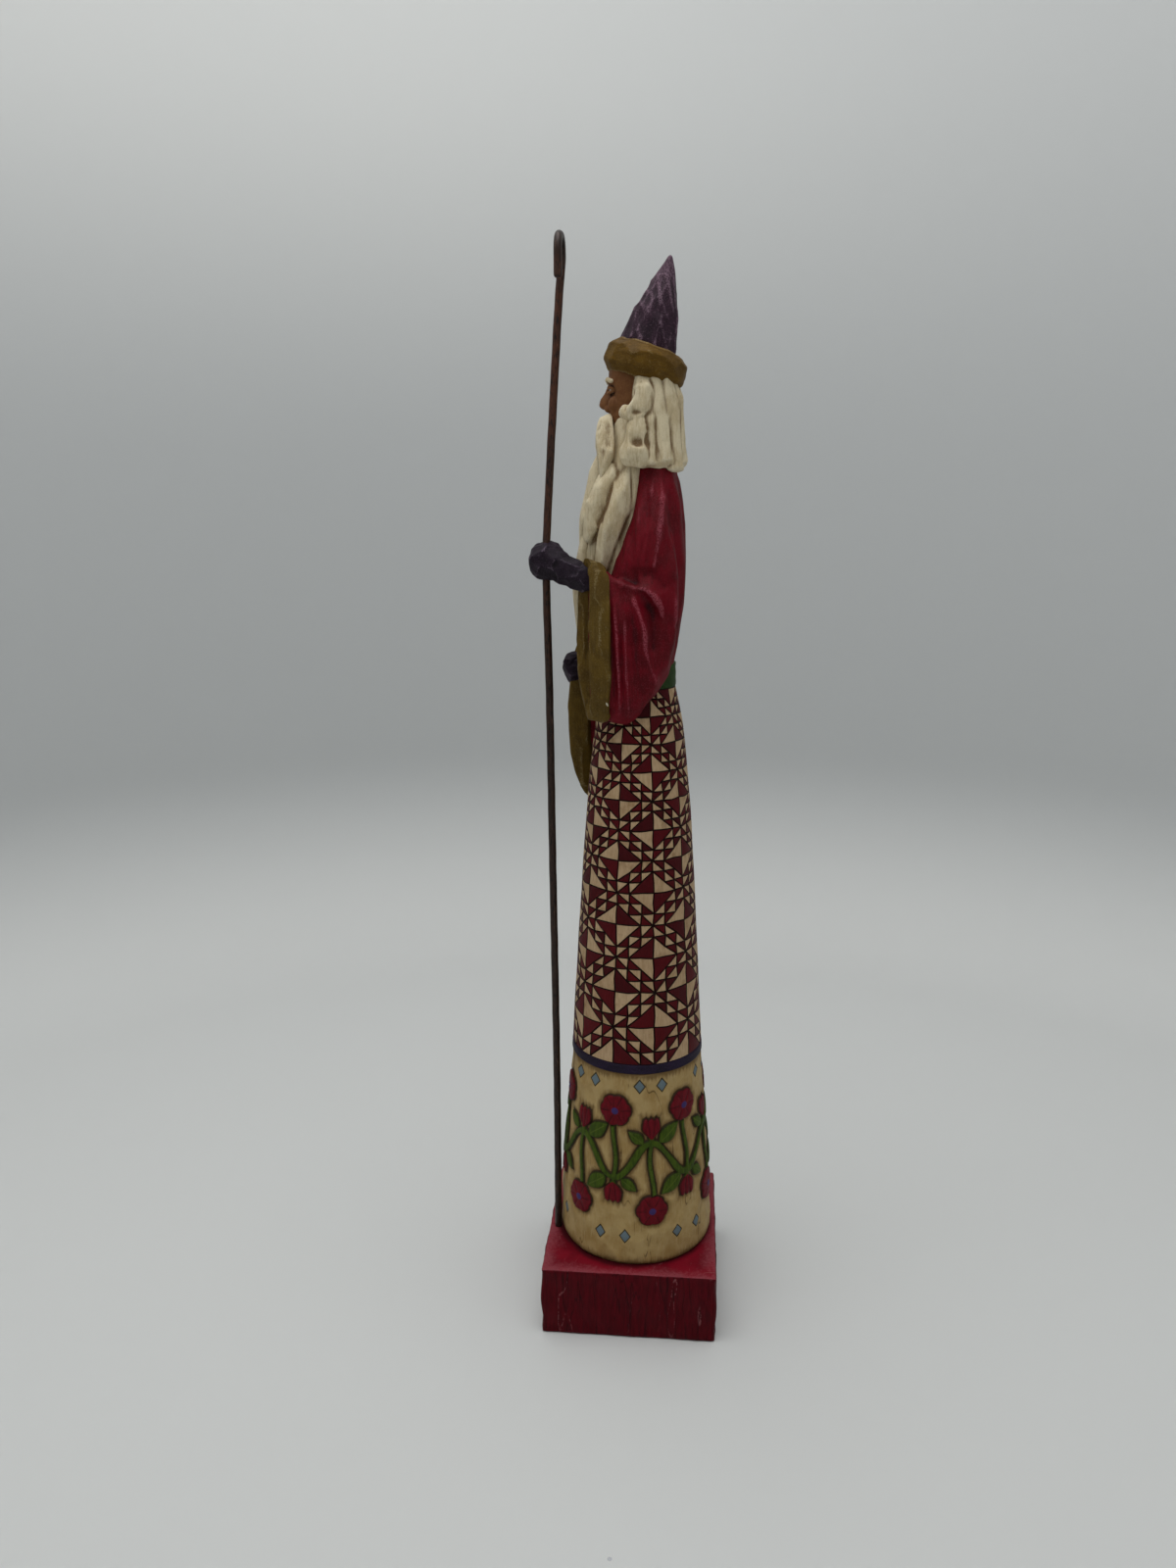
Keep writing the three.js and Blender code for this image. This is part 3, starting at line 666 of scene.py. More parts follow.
# %% Roll the quilt round the robe
def quilt():
    cloth = quilt_cloth()
    merge_big_triangles(cloth)
    raise_patches(cloth)
    flat = points(cloth)
    half_column = TURN / QUILT_COLUMNS / 2
    angle = flat[:, 0] / LAID_ROUND * TURN - half_column
    radius = robe_radius(flat[:, 1]) - 0.25 + np.abs(flat[:, 2])
    radius += 0.12 * np.sin(7 * angle + flat[:, 1] / 9) * np.sin(flat[:, 1] / 13)
    put(cloth, round_robe(radius, angle, flat[:, 1]))
    close(cloth)
    smooth_shaded(cloth, 28)
    print("robe_quilt:", len(cloth.data.polygons), "faces")
    return cloth


robe_quilt = quilt()

# %% [markdown]
# The quilt's paint reads three numbers that each face carries: whether it is cream or red,
# whether it is part of a groove, and a tone that makes no two patches quite alike.

# %% Paint the quilt
def quilt_paint():
    paint = Paint("quilt paint")
    cream, groove, tone = (paint.attribute(n) for n in ("cream", "groove", "tone"))
    wood = paint.noise(0.9, stretch=(1, 1, 5), detail=4, rough=0.65)
    cloud = paint.noise(5)
    red = paint.coats((58, 0, 5), ((94, 2, 13), tone * 0.6 + (wood - 0.5) * 0.8),
                      ((128, 52, 56), wood.over(0.62, 0.8) * 0.5))
    pale = paint.coats((186, 159, 126), ((150, 120, 84), wood.over(0.35, 0.75) * 0.6 + tone * 0.3),
                       ((112, 78, 42), cloud.over(0.52, 0.75) * 0.5))
    dark = paint.coats((14, 3, 3), ((44, 10, 8), wood.over(0.45, 0.75)))
    colour = paint.coats(red, (pale, cream), (dark, groove * 0.96))
    return paint.finish(colour, wood * 0.2 + 0.5, wood, strength=0.35)


dress(robe_quilt, quilt_paint())

# %% [markdown]
# ## The flowered border
# Below the quilt runs a vine of this model's own design: one even wave round the hem, with
# rosettes and buds by turns above and below it. It is low relief, so the border is a fine
# rolled grid, and each motif is a distance: negative inside its outline, positive outside.
# The same distances lift the motifs, cut a groove round them and tell the paint where to
# change colour, so every edge stays crisp.

# %% Distances to the border's motifs
WAVES = 6
VINE_MIDDLE, VINE_SWING, VINE_HALF = 79.0, 8.0, 1.45
BLOSSOM_RADIUS, BLOSSOM_HIGH, BLOSSOM_LOW = 7.0, 101.0, 56.5
BUD_LONG, LEAF_LONG, LEAF_WIDE, LEAF_ASIDE, LEAF_TURN = 9.6, 12.0, 0.29, 0.11, 0.9
LOZENGE_HIGH, LOZENGE_LOW = 112.2, 44.5
MOTIFS = ("green", "crimson", "eye", "vein", "petal", "lozenge")


def local(angle, z, at, height, turn=0.0):
    """Places in millimetres across and up from a motif's own point, turned with it."""
    away = (angle - at + np.pi) % TURN - np.pi
    across, up = away * robe_radius(height), z - height
    return (across * np.cos(turn) + up * np.sin(turn), up * np.cos(turn) - across * np.sin(turn))


def vine_gap(angle, z):
    slope = VINE_SWING * WAVES * np.cos(WAVES * angle) / robe_radius(VINE_MIDDLE)
    height = z - VINE_MIDDLE - VINE_SWING * np.sin(WAVES * angle)
    wander = 0.2 * np.sin(9 * angle + 1) + 0.15 * np.sin(23 * angle)
    return np.abs(height) / np.hypot(1, slope) - VINE_HALF - wander


def leaf_gap(x, y, long):
    """A pointed leaf that grows up from its foot."""
    t = np.clip(y / long, 0, 1)
    half = long * LEAF_WIDE * np.sin(np.pi * t**0.8) ** 0.9
    return np.maximum(np.abs(x) - half, np.maximum(-y, y - long)) * 0.8


def bud_gap(x, y, long):
    """A closed tulip: round at its foot, with three points at its top."""
    t = np.clip(y / long, 0, 1)
    half = long * (0.4 * np.sin(np.pi * np.clip(t, 0, 0.5)) + 0.02 - 0.06 * blend_step(t, 0.5, 1))
    teeth = 0.12 * long * np.abs(((x / (0.24 * long) + 0.5) % 1) - 0.5) * 2
    return np.maximum(np.abs(x) - half, np.maximum(-y, y - long + teeth)) * 0.85


def rosette_gap(x, y, turn):
    around, away = np.arctan2(y, x) + turn, np.hypot(x, y)
    edge = BLOSSOM_RADIUS * (0.88 + 0.13 * np.abs(np.cos(3 * around)) ** 0.6)
    return away - edge, away, around

# %% Gather the motifs over the whole border
def border_field(angle, z):
    """Distances to what is green, what is crimson, and the smaller details on them."""
    field = {name: np.full(len(angle), 9.0) for name in MOTIFS}

    def carve(name, gap):
        field[name] = np.minimum(field[name], gap)

    carve("green", vine_gap(angle, z))
    crest = np.pi / (2 * WAVES)
    top, bottom = VINE_MIDDLE + VINE_SWING, VINE_MIDDLE - VINE_SWING
    for i in range(WAVES):
        for sign, at in ((1, TURN * i / WAVES + crest), (-1, TURN * (i + 0.5) / WAVES + crest)):
            flip = 0.0 if sign > 0 else np.pi
            tip = top if sign > 0 else bottom
            rose = BLOSSOM_LOW if sign > 0 else BLOSSOM_HIGH
            x, y = local(angle, z, at, tip + sign * 1.0, flip)
            carve("crimson", bud_gap(x, y - 0.8, BUD_LONG))
            carve("green", bud_gap(x, y + 0.6, BUD_LONG * 0.42) + 0.2)
            carve("petal", np.where(y > 2, np.abs(np.abs(x) - 0.4 - y * 0.12), 9))
            for side in (-1, 1):
                lean = at + sign * side * LEAF_ASIDE
                x, y = local(angle, z, lean, tip, flip - side * LEAF_TURN)
                carve("green", leaf_gap(x, y, LEAF_LONG if side > 0 else LEAF_LONG * 0.72))
                carve("vein", np.where((y > 1) & (y < LEAF_LONG * 0.85), np.abs(x), 9))
            x, y = local(angle, z, at, rose)
            edge, away, around = rosette_gap(x, y, 0.4 * i)
            carve("crimson", edge)
            carve("eye", away - 1.5)
            spokes = np.abs(np.sin(3 * around)) * away * 0.35
            carve("petal", np.where((away > 2.1) & (edge < 0.5), spokes, 9))
            x, y = local(angle, z, at, (tip + rose) / 2)
            stem = np.maximum(np.abs(x + 0.9 * np.sin(y / 5)) - 1.05, np.abs(y) - np.abs(tip - rose) / 2)
            carve("green", np.maximum(stem, -edge + 0.2))
            for side in (-1, 1):
                height = LOZENGE_HIGH if sign > 0 else LOZENGE_LOW
                x, y = local(angle, z, at + side * 0.17, height)
                carve("lozenge", np.abs(x) + 0.8 * np.abs(y) - 2.4)
    return field

# %% Carve the border
MOTIF_HIGH, EYE_HIGH = 0.75, 0.28
MOAT_DEEP, PETAL_CUT, VEIN_CUT, LOZENGE_CUT = 0.38, 0.3, 0.22, 0.3


def border():
    low, high = BLOCK_HIGH + 0.1, BORDER_TOP

    def place(turn, way):
        z = low + (high - low) * way
        field = border_field(turn, z)
        motif = np.minimum(field["green"], field["crimson"])
        round_edge = np.clip(-motif / 0.7, 0, 1)
        lift = MOTIF_HIGH * np.sqrt(1 - (1 - round_edge) ** 2) + 0.12 * blend_step(-motif, 0.7, 2.5)
        moat = blend_step(motif, -0.1, 0.2) * (1 - blend_step(motif, 0.5, 2.6))
        lift -= MOAT_DEEP * moat
        lift -= PETAL_CUT * (1 - blend_step(field["petal"], 0.05, 0.5)) * (motif < -0.4)
        lift -= VEIN_CUT * (1 - blend_step(field["vein"], 0.0, 0.35)) * (field["green"] < -0.3)
        lift += EYE_HIGH * np.sqrt(np.clip(-field["eye"] / 1.5, 0, 1))
        lift -= LOZENGE_CUT * (1 - blend_step(np.abs(field["lozenge"]), 0.0, 0.4))
        tuck = HEM_TUCK * np.clip((33 - z) / 2, 0, 1) ** 2
        return round_robe(robe_radius(z) + lift - tuck - 0.1, turn, z)

    piece = rolled("robe_border", 410, 172, place)
    places = points(piece)
    field = border_field(np.arctan2(places[:, 1] - AXIS_Y, places[:, 0] / ROBE_WIDEN), places[:, 2])
    motif = np.minimum(field["green"], field["crimson"])
    inner = (places[:, 2] > BLOCK_HIGH + 1) & (places[:, 2] < BORDER_TOP - 0.5)
    gouge(piece, 71, 6.5, 1.0, (1, 1, 1.6), lambda _: blend_step(motif, 0.4, 1.8) * inner)
    for name, gap in field.items():
        mark(piece, name, gap)
    worn(piece, broad=12, fine=4)
    print("robe_border:", len(piece.data.polygons), "faces,", 2 * WAVES, "rosettes")
    return piece

# %% Paint the border
def border_paint():
    paint = Paint("border paint")
    green, crimson, eye, vein, petal, lozenge = (paint.attribute(name) for name in MOTIFS)
    height = paint.attribute("relief")
    strokes = paint.noise(1.1, stretch=(1, 1, 5), detail=4, rough=0.65)
    cloud = paint.noise(7, detail=4)
    fine = paint.noise(0.5, detail=2)
    motif = green.least(crimson)
    halo = (motif + (strokes - 0.5) * 2.6 + (cloud - 0.5) * 3).under(0.0, 2.6)
    wander = (strokes + cloud - 1) * 5
    rise = paint.axis("Z")
    ends = (BORDER_TOP - rise + wander).under(0.3, 3.5) + (rise - BLOCK_HIGH + wander).under(0.3, 4.5)
    cracks = paint.thread(8, (1, 1, 9), 0.007, 5.0) * cloud.over(0.42, 0.58)
    outline = (abs(motif - 0.12) + (fine - 0.5) * 0.5).under(0.1, 0.6)
    catch = fine.over(0.4, 0.6)
    ground = paint.coats((170, 145, 97), ((150, 122, 74), cloud.over(0.35, 0.7)),
                         ((176, 154, 110), strokes.over(0.5, 0.75) * 0.6),
                         ((92, 62, 26), halo * 0.7), ((84, 56, 24), ends * 0.75),
                         ((70, 44, 18), (0 - height).over(0.5, 2.2) * 0.5),
                         ((60, 38, 16), cracks * 0.75))
    leaf = paint.coats((46, 62, 6), ((66, 84, 14), strokes.over(0.35, 0.65)),
                       ((110, 122, 62), height.over(0.6, 1.6) * catch * 0.6),
                       ((96, 108, 40), vein.under(0.1, 0.4) * 0.5))
    bloom = paint.coats((84, 2, 14), ((108, 6, 22), strokes.over(0.35, 0.7)),
                        ((150, 80, 86), height.over(0.7, 1.8) * catch * 0.5),
                        ((44, 0, 6), petal.under(0.05, 0.45) * 0.7),
                        ((58, 42, 92), eye.under(-0.1, 0.1)))
    colour = paint.coats(ground, (leaf, green.under(-0.12, 0.12)),
                         (bloom, crimson.under(-0.12, 0.12)),
                         ((98, 112, 118), lozenge.under(-0.35, -0.15)),
                         ((26, 17, 10), abs(lozenge).under(0.15, 0.5) * 0.9),
                         ((24, 15, 8), outline * 0.85))
    return paint.finish(colour, fine * 0.2 + 0.5, strokes * 0.7 + fine * 0.4, strength=0.4)


dress(border(), border_paint())

# %% [markdown]
# ## Stripe and belt
# A narrow violet stripe parts the border from the quilt, and a plain green belt closes the
# robe at the waist. Both are rings with softly rounded edges.

# %% Rings round the robe
def ring(name, low, high, radius, edge, widen, wave):
    """A solid ring whose edges are rounded; wave makes its face a little uneven."""
    def place(turn, way):
        z = low + (high - low) * way
        inset = edge * (1 - np.sqrt(1 - (1 - np.clip(np.minimum(z - low, high - z) / edge, 0, 1)) ** 2))
        reach = radius(z) - inset + wave * np.sin(9 * turn + z) * np.sin(4 * turn - z / 2)
        return round_robe(reach, turn, z, widen)

    piece = rolled(name, 240, 16, place)
    worn(piece, broad=10, fine=5)
    return piece


stripe = ring("robe_stripe", BORDER_TOP - 0.1, STRIPE_TOP + 0.1, lambda z: robe_radius(z) + 0.3, 0.9,
              ROBE_WIDEN, 0.05)
dress(stripe, antiqued(
    "stripe paint", (34, 22, 46), (26, 17, 34), (8, 5, 9), (92, 78, 100),
    cuts=(0.2, 1.2), ridges=(0.9, 2.2), streak=(1, 1, 1), brush=0.4, speckle=0.1))
belt = ring("belt", BELT_LOW, BELT_HIGH, lambda z: BELT_RADIUS + 0 * z, 1.1, 1.0, 0.12)
dress(belt, antiqued(
    "belt paint", (40, 66, 20), (32, 52, 16), (12, 18, 6), (100, 118, 84),
    cuts=(0.3, 1.4), ridges=(0.8, 2.0), streak=(1, 1, 3), brush=0.35, speckle=0.12))
print("rings:", stripe.name, belt.name)

# %% [markdown]
# ## The coat
# The coat's body, upper arms and wide sleeves were carved from one block: they are made one
# by one and fused. A sleeve is a row of tall ovals from its mouth in front to the elbow
# behind, and each list gives its highest and lowest point, middle and half width.

# %% Sleeves as rows of ovals
LEFT_SLEEVE = {
    "side": 1, "slant": 0.5, "start": -19.4, "end": 16.2, "top_lean": 0.3, "low_lean": 0.7, "cuff": 8.4,
    "top": through((-19.4, 328.6), (-11, 325), (-3, 321), (4, 320), (9, 317.4), (13.6, 312), (16.2, 305)),
    "low": through((-19.4, 268.6), (-12, 267.6), (-7.4, 265.2), (-1, 266), (5.3, 273), (12.8, 284),
                   (16.2, 297)),
    "middle": through((-19.4, 20.3), (-6, 20.2), (4, 18.6), (12, 15.5), (16.2, 12.5)),
    "half": through((-19.4, 5.9), (-8, 7), (2, 8), (10, 8.4), (13.6, 7), (15.4, 4.4), (16.2, 1.8)),
}
RIGHT_SLEEVE = {
    "side": -1, "slant": 0.4, "start": -26.6, "end": 15.0, "top_lean": 0.8, "low_lean": 2.2, "cuff": 8.2,
    "top": through((-26.6, 293.5), (-18, 297), (-8, 302), (4, 306), (12, 307), (14, 304), (15, 299)),
    "low": through((-26.6, 229.2), (-21, 227), (-14, 229.5), (-8, 235), (0, 246), (8, 262), (12, 275),
                   (15, 291)),
    "middle": through((-26.6, 16.2), (-14, 18.6), (-3, 20.4), (6, 19), (16, 13)),
    "half": through((-26.6, 6), (-14, 6.8), (-3, 6.9), (8, 7.2), (12, 6), (14, 4), (15, 1.6)),
}


def sleeve_places(sleeve, y, turn, grow=0.0):
    middle = (sleeve["top"](y) + sleeve["low"](y)) / 2
    high = (sleeve["top"](y) - sleeve["low"](y)) / 2 + grow
    cos, sin = np.cos(turn), np.sin(turn)
    across = (sleeve["half"](y) + grow) * power(cos, 0.8)
    square = np.clip(1 - (y - sleeve["start"]) / 22, 0, 1)
    lean = np.where(sin > 0, sleeve["top_lean"], sleeve["low_lean"]) * np.abs(sin) ** 3
    back = square * (sleeve["slant"] * across + lean / sleeve["slant"])
    return np.stack([sleeve["side"] * (sleeve["middle"](y) + across), y + back, middle + high * sin], 1)


def sleeve_form(name, sleeve):
    def place(turn, way):
        y = sleeve["start"] + 2.4 + (sleeve["end"] - sleeve["start"] - 2.4) * way
        return sleeve_places(sleeve, y, turn)

    return rolled(name, 96, 70, place)


def upper_arm(side, elbow):
    line = sided(side, (11, 6, 360), (16.6, 7, 344), (19.3, 8.5, 328), (19.3, 8.5, elbow),
                 (15, 6, elbow - 12))
    return limb("arm", line, (side, 0, 0.2), ((0, 4), (0.3, 7.4), (0.65, 8.4), (0.85, 7), (1, 3)),
                ((0, 2.4), (0.3, 4.2), (0.65, 5), (0.85, 4.4), (1, 2)))


def coat_body():
    half = through((286, 14.5), (291, 16.5), (305, 20.2), (320, 21.6), (336, 21.5), (348, 19), (358, 14.5),
                   (367, 11))
    front = through((286, -13), (297, -15.5), (311, -14.5), (322, -11.2), (336, -6), (350, -2), (367, -1))
    back = through((286, 15.4), (302, 17.2), (312, 18.5), (325, 19), (340, 18.5), (356, 17), (367, 14.5))
    return stacked("coat", 286.5, 367, half, front, back, square=0.25, sides=120, rows=100)


coat = fused("coat", [coat_body(), upper_arm(1, 310), upper_arm(-1, 300), sleeve_form("left", LEFT_SLEEVE),
                      sleeve_form("right", RIGHT_SLEEVE)], voxel=0.62, rounds=11)

# %% [markdown]
# The folds are pushed into the fused skin afterwards. Each is a line on the coat's side,
# given by how far back and how high it runs, and a height: ridges are positive and hollows
# negative. The far side wears the same folds, lowered to its own elbow, and the back has
# long plain ones.

# %% Drapery on the coat
FOLDS = (
    (1.7, 1.5, ((-8, 322), (-3.2, 319.2), (0.2, 318.2), (4.3, 318.6), (8.1, 316), (10.4, 311.5),
                (10.8, 306))),
    (-1.5, 2.4, ((1.5, 323.5), (6, 324.5), (10, 322), (13, 318))),
    (-1.8, 1.9, ((4.6, 314.4), (7.4, 309), (8.3, 301), (8.0, 293))),
    (1.3, 1.2, ((-1.8, 317.5), (1.6, 311), (4.0, 304), (4.9, 295), (6.6, 288), (9.1, 281))),
    (-1.2, 1.8, ((-2.0, 311), (0.5, 303), (1.2, 294), (2.6, 284), (4.0, 277))),
    (0.9, 1.0, ((-3.4, 308), (-3.3, 300), (-3.0, 290), (-2.2, 277), (-1.8, 268))),
    (-0.8, 1.0, ((-4.7, 305), (-4.6, 296), (-4.2, 286), (-3.6, 276))),
    (0.9, 1.0, ((-7.6, 314), (-6.6, 302), (-5.8, 291), (-5.2, 280), (-5.0, 268))),
    (-0.8, 1.3, ((-9.4, 316), (-8.6, 300), (-7.8, 286), (-7.4, 272))),
    (1.0, 1.4, ((14.8, 318), (15.4, 306), (13.6, 296), (11.4, 286))),
    (0.8, 1.2, ((2.0, 352), (1.2, 341), (1.3, 330), (0.2, 325))),
    (-0.8, 1.7, ((4.6, 356), (5.2, 344), (5.0, 332), (4.4, 327))),
    (1.1, 1.3, ((9.4, 364), (10.3, 350.8), (9.4, 338.5), (8.2, 329), (7.4, 325))),
    (-0.9, 1.7, ((14.2, 358), (14.6, 342), (14.0, 330))),
    (0.8, 1.1, ((-2.6, 340), (-3.4, 330), (-5.0, 322))),
    (0.7, 1.0, ((6.4, 360), (6.0, 346), (4.6, 334), (3.4, 327))),
)
FAR_ELBOW_DROP = -12.0


def gap_to_line(places, line):
    """The distance of flat places to a line of points, and how far along it they lie."""
    line = np.array(line, float)
    best, along = np.full(len(places), np.inf), np.zeros(len(places))
    for i, (a, b) in enumerate(zip(line[:-1], line[1:])):
        run = b - a
        t = np.clip(((places - a) @ run) / (run @ run), 0, 1)
        gap = np.hypot(*(places - a - t[:, None] * run).T)
        closer = gap < best
        best[closer], along[closer] = gap[closer], (i + t[closer]) / (len(line) - 1)
    return best, along


def drape(piece):
    places, out = points(piece), normals(piece)
    lift = np.zeros(len(places))
    for side, drop in ((1, 0.0), (-1, FAR_ELBOW_DROP)):
        facing = blend_step(side * out[:, 0], 0.05, 0.5) * (side * places[:, 0] > 0)
        shift = drop * (1 - blend_step(places[:, 2], 322, 345))
        flat = np.stack([places[:, 1], places[:, 2] - shift], 1)
        for height, wide, line in FOLDS:
            gap, along = gap_to_line(flat, line)
            fade = np.clip(np.minimum(along, 1 - along) * 6 + 0.25, 0, 1)
            lift += facing * fade * height * np.exp(-((gap / wide) ** 2))
    behind = blend_step(out[:, 1], 0.2, 0.7)
    angle = np.arctan2(places[:, 1], places[:, 0])
    fade = blend_step(places[:, 2], 284, 300) * (1 - blend_step(places[:, 2], 350, 366))
    lift += behind * fade * 0.75 * np.cos(11 * angle + 0.05 * (places[:, 2] - 320))
    put(piece, places + out * lift[:, None])


drape(coat)
gouge(coat, 3, 4.2, 1.0, stretch=(1, 1, 4.5))
worn(coat, broad=60, fine=12)
dress(coat, antiqued(
    "coat paint", (104, 0, 18), (80, 0, 9), (36, 0, 4), (166, 82, 95),
    cuts=(0.5, 2.2), ridges=(0.8, 2.5), streak=(1, 1, 7), brush=0.55, speckle=0.16))

# %% [markdown]
# ## Cuffs
# Each sleeve ends in a band of fur, carved as flat facets. Its rings run from the outside
# over the lip into the mouth, so the band and its lining are one closed skin. Long ago a
# knock broke a chip as big as a pinhead out of the left one, down to the pale resin.

# %% Fur cuffs
CUFF_PROFILE = ((1.0, 0.2), (0.99, 1.2), (0.9, 1.75), (0.5, 1.9), (0.12, 1.8), (0.0, 1.2), (-0.07, 0.2),
                (-0.05, -1.0), (0.08, -1.8), (0.3, -2.2), (0.5, -2.4))


def cuff(name, sleeve, seed, chipped):
    order = np.linspace(0, 1, len(CUFF_PROFILE))
    shift = through(*zip(order, [p[0] * sleeve["cuff"] for p in CUFF_PROFILE]))
    grow = through(*zip(order, [p[1] for p in CUFF_PROFILE]))

    def place(turn, way):
        return sleeve_places(sleeve, sleeve["start"] + shift(way), turn, grow(way))

    piece = rolled(name, 300, 70, place)
    facet(piece, seed + 5, 5.0, 0.7, stretch=(1, 1, 3.4))
    gouge(piece, seed, 4.6, 0.6, stretch=(1, 1, 3.4))
    worn(piece)
    places = points(piece)
    outside = places[:, 0] * sleeve["side"] > 24
    gap = np.hypot(places[:, 1] + 10.0, places[:, 2] - 273.9) + 9 * (outside == 0)
    gap += 0.35 * np.sin(5 * places[:, 1] + 3 * places[:, 2]) + (0 if chipped else 9)
    put(piece, places - normals(piece) * (0.35 * (1 - blend_step(gap, 0.5, 1.0)))[:, None])
    mark(piece, "chip", gap)
    return piece


gold = antiqued("cuff paint", (94, 72, 22), (78, 58, 16), (38, 25, 6), (146, 130, 92),
                cuts=(0.2, 1.6), ridges=(0.6, 1.9), streak=(1, 1, 6), brush=0.5, speckle=0.22, chip=True)
dress(cuff("cuff_left", LEFT_SLEEVE, 21, True), gold)
dress(cuff("cuff_right", RIGHT_SLEEVE, 22, False), gold)
print("the cuffs are carved and painted")

# %% [markdown]
# ## Mittens
# A mitten is three limbs fused: the wrist, the fist round the rod and the thumb laid over
# it. Its facets are the boldest on the figure.

# %% Mittened hands
FIST = (((0, 0.45), (0.25, 0.86), (0.6, 1), (0.88, 0.8), (1, 0.4)),
        ((0, 0.55), (0.25, 0.9), (0.6, 1), (0.88, 0.84), (1, 0.45)))


def mitten(name, wrist, fist, thumb, size, faces, seed):
    wide, deep = ([(way, share * size) for way, share in shares] for shares in FIST)
    forms = [
        limb("wrist", wrist, faces, ((0, 4.4), (1, 5.0)), ((0, 5.0), (1, 5.8)), ends=(0.1, 0.12)),
        limb("fist", fist, faces, wide, deep, ends=(0.1, 0.12)),
        limb("thumb", thumb, faces, ((0, 1.2), (0.4, 2.2), (0.8, 2.1), (1, 1.2)),
             ((0, 1.2), (0.4, 2.1), (0.8, 2), (1, 1))),
    ]
    piece = fused(name, forms, voxel=0.3, rounds=6)
    facet(piece, seed, 5.4, 0.75, stretch=(1.2, 1.4, 0.9))
    gouge(piece, seed + 7, 4.2, 0.7)
    worn(piece, broad=50, fine=5)
    return piece


left_hand = mitten("mitten_left", [(18, -14, 321), (15.2, -23, 323.6), (10.8, -32.4, 327)],
                   [(13, -27, 325.6), (10.2, -33, 328), (8.8, -37.5, 328.6), (8.2, -42.4, 328.8)],
                   [(12, -29, 332.4), (8.8, -33.4, 335), (5.8, -37.6, 334.2), (4.6, -40.4, 331.6)],
                   6.8, (0, 0.2, 1), 31)
right_hand = mitten("mitten_right", [(-17, -16, 285), (-15.6, -21.6, 284.4), (-13.4, -26, 283.6)],
                    [(-15, -22.6, 284), (-13.2, -26.2, 283.2), (-12, -28.4, 282), (-11, -30.8, 281)],
                    [(-14.4, -24, 288), (-11.8, -26.6, 288.8), (-9.6, -28.8, 287.4), (-8.6, -30.2, 285)],
                    5.6, (0, 0.3, 1), 32)
plum = antiqued("mitten paint", (34, 22, 34), (24, 15, 25), (6, 3, 6), (112, 98, 112),
                cuts=(0.1, 1.4), ridges=(0.7, 2.0), streak=(3, 1, 1), brush=0.6, speckle=0.15)
dress(left_hand, plum)
dress(right_hand, plum)

# %% [markdown]
# ## Beard, moustache and hair
# Locks are keeled limbs that overlap like leaves. The beard's locks and its core are fused,
# so that deep cuts stay between them, and the knife flattens their faces.

# %% Locks
def leaf_wide(most, blunt):
    return (0, most * 0.5), (0.3, most), (0.75, most * 0.8), (1, most * blunt * 0.5)


def lock(line, faces, wide, deep, blunt=0.5, keel=1.25, ends=(0.1, 0.1)):
    piece = limb("lock", line, faces, leaf_wide(wide, blunt), leaf_wide(deep, blunt), keel, ends, 40, 80)
    facet(piece, 7, 4.6, 0.85, stretch=(1, 1, 3.6))
    return piece


def both(line, faces, *rest, **more):
    """A lock on the figure's left and its mirror image on the right."""
    return [lock(sided(side, *line), *sided(side, faces), *rest, **more) for side in (1, -1)]


def beard():
    half = through((298, 2.2), (309, 5.6), (323, 9.2), (337, 11.8), (353, 12.8), (369, 12), (385, 9))
    front = through((298, -22), (309, -22.4), (323, -21), (337, -19.4), (353, -15.8), (369, -12),
                    (385, -10.2))
    back = through((298, -14), (309, -8), (323, -2), (337, 3), (349, 6), (369, 6), (385, 4))
    core = stacked("core", 298, 385, half, front, back, sides=64, rows=80)
    forms = [core, lock([(0, -19.6, 344), (0.4, -22.6, 327), (0.2, -23.4, 312), (0, -23.6, 297.8)],
                        (0, -1, 0), 4.4, 2.6, 0.8, keel=1.4)]
    forms.append(lock([(0, -13, 374), (0, -17.6, 358), (0, -20.6, 344), (0, -22.2, 331)],
                      (0, -1, 0), 4.4, 2.8, 1.0, keel=1.3))
    forms += both([(9.2, -8.6, 366), (9.6, -11.6, 357), (8.4, -16.2, 346), (6.2, -19.6, 335.4)],
                  (1, -0.4, 0), 5.1, 3.5, 0.9, keel=0.85, ends=(0.1, 0.08))
    forms += both([(11.2, -3.4, 366), (12.4, -7.0, 350), (10.8, -11.6, 336), (8.4, -15.2, 321)],
                  (1, -0.25, 0), 4.4, 3.3, 0.8, keel=0.9, ends=(0.1, 0.08))
    facet(core, 44, 5.6, 0.8, stretch=(1, 1, 4.5))
    piece = fused("beard", forms, voxel=0.42, rounds=1)
    gouge(piece, 41, 4.6, 0.9, stretch=(1, 1, 5))
    return piece


def moustache():
    forms = both([(0.6, -11.8, 384.4), (5.6, -12.4, 379.6), (9.4, -12.2, 370.5), (10.8, -14.0, 358.0)],
                 (1, -0.65, 0), 4.5, 2.8, 0.4, keel=1.05, ends=(0.12, 0.1))
    piece = fused("moustache", forms, voxel=0.3, rounds=2)
    gouge(piece, 42, 4.0, 0.5, stretch=(1, 1, 4.5))
    return piece

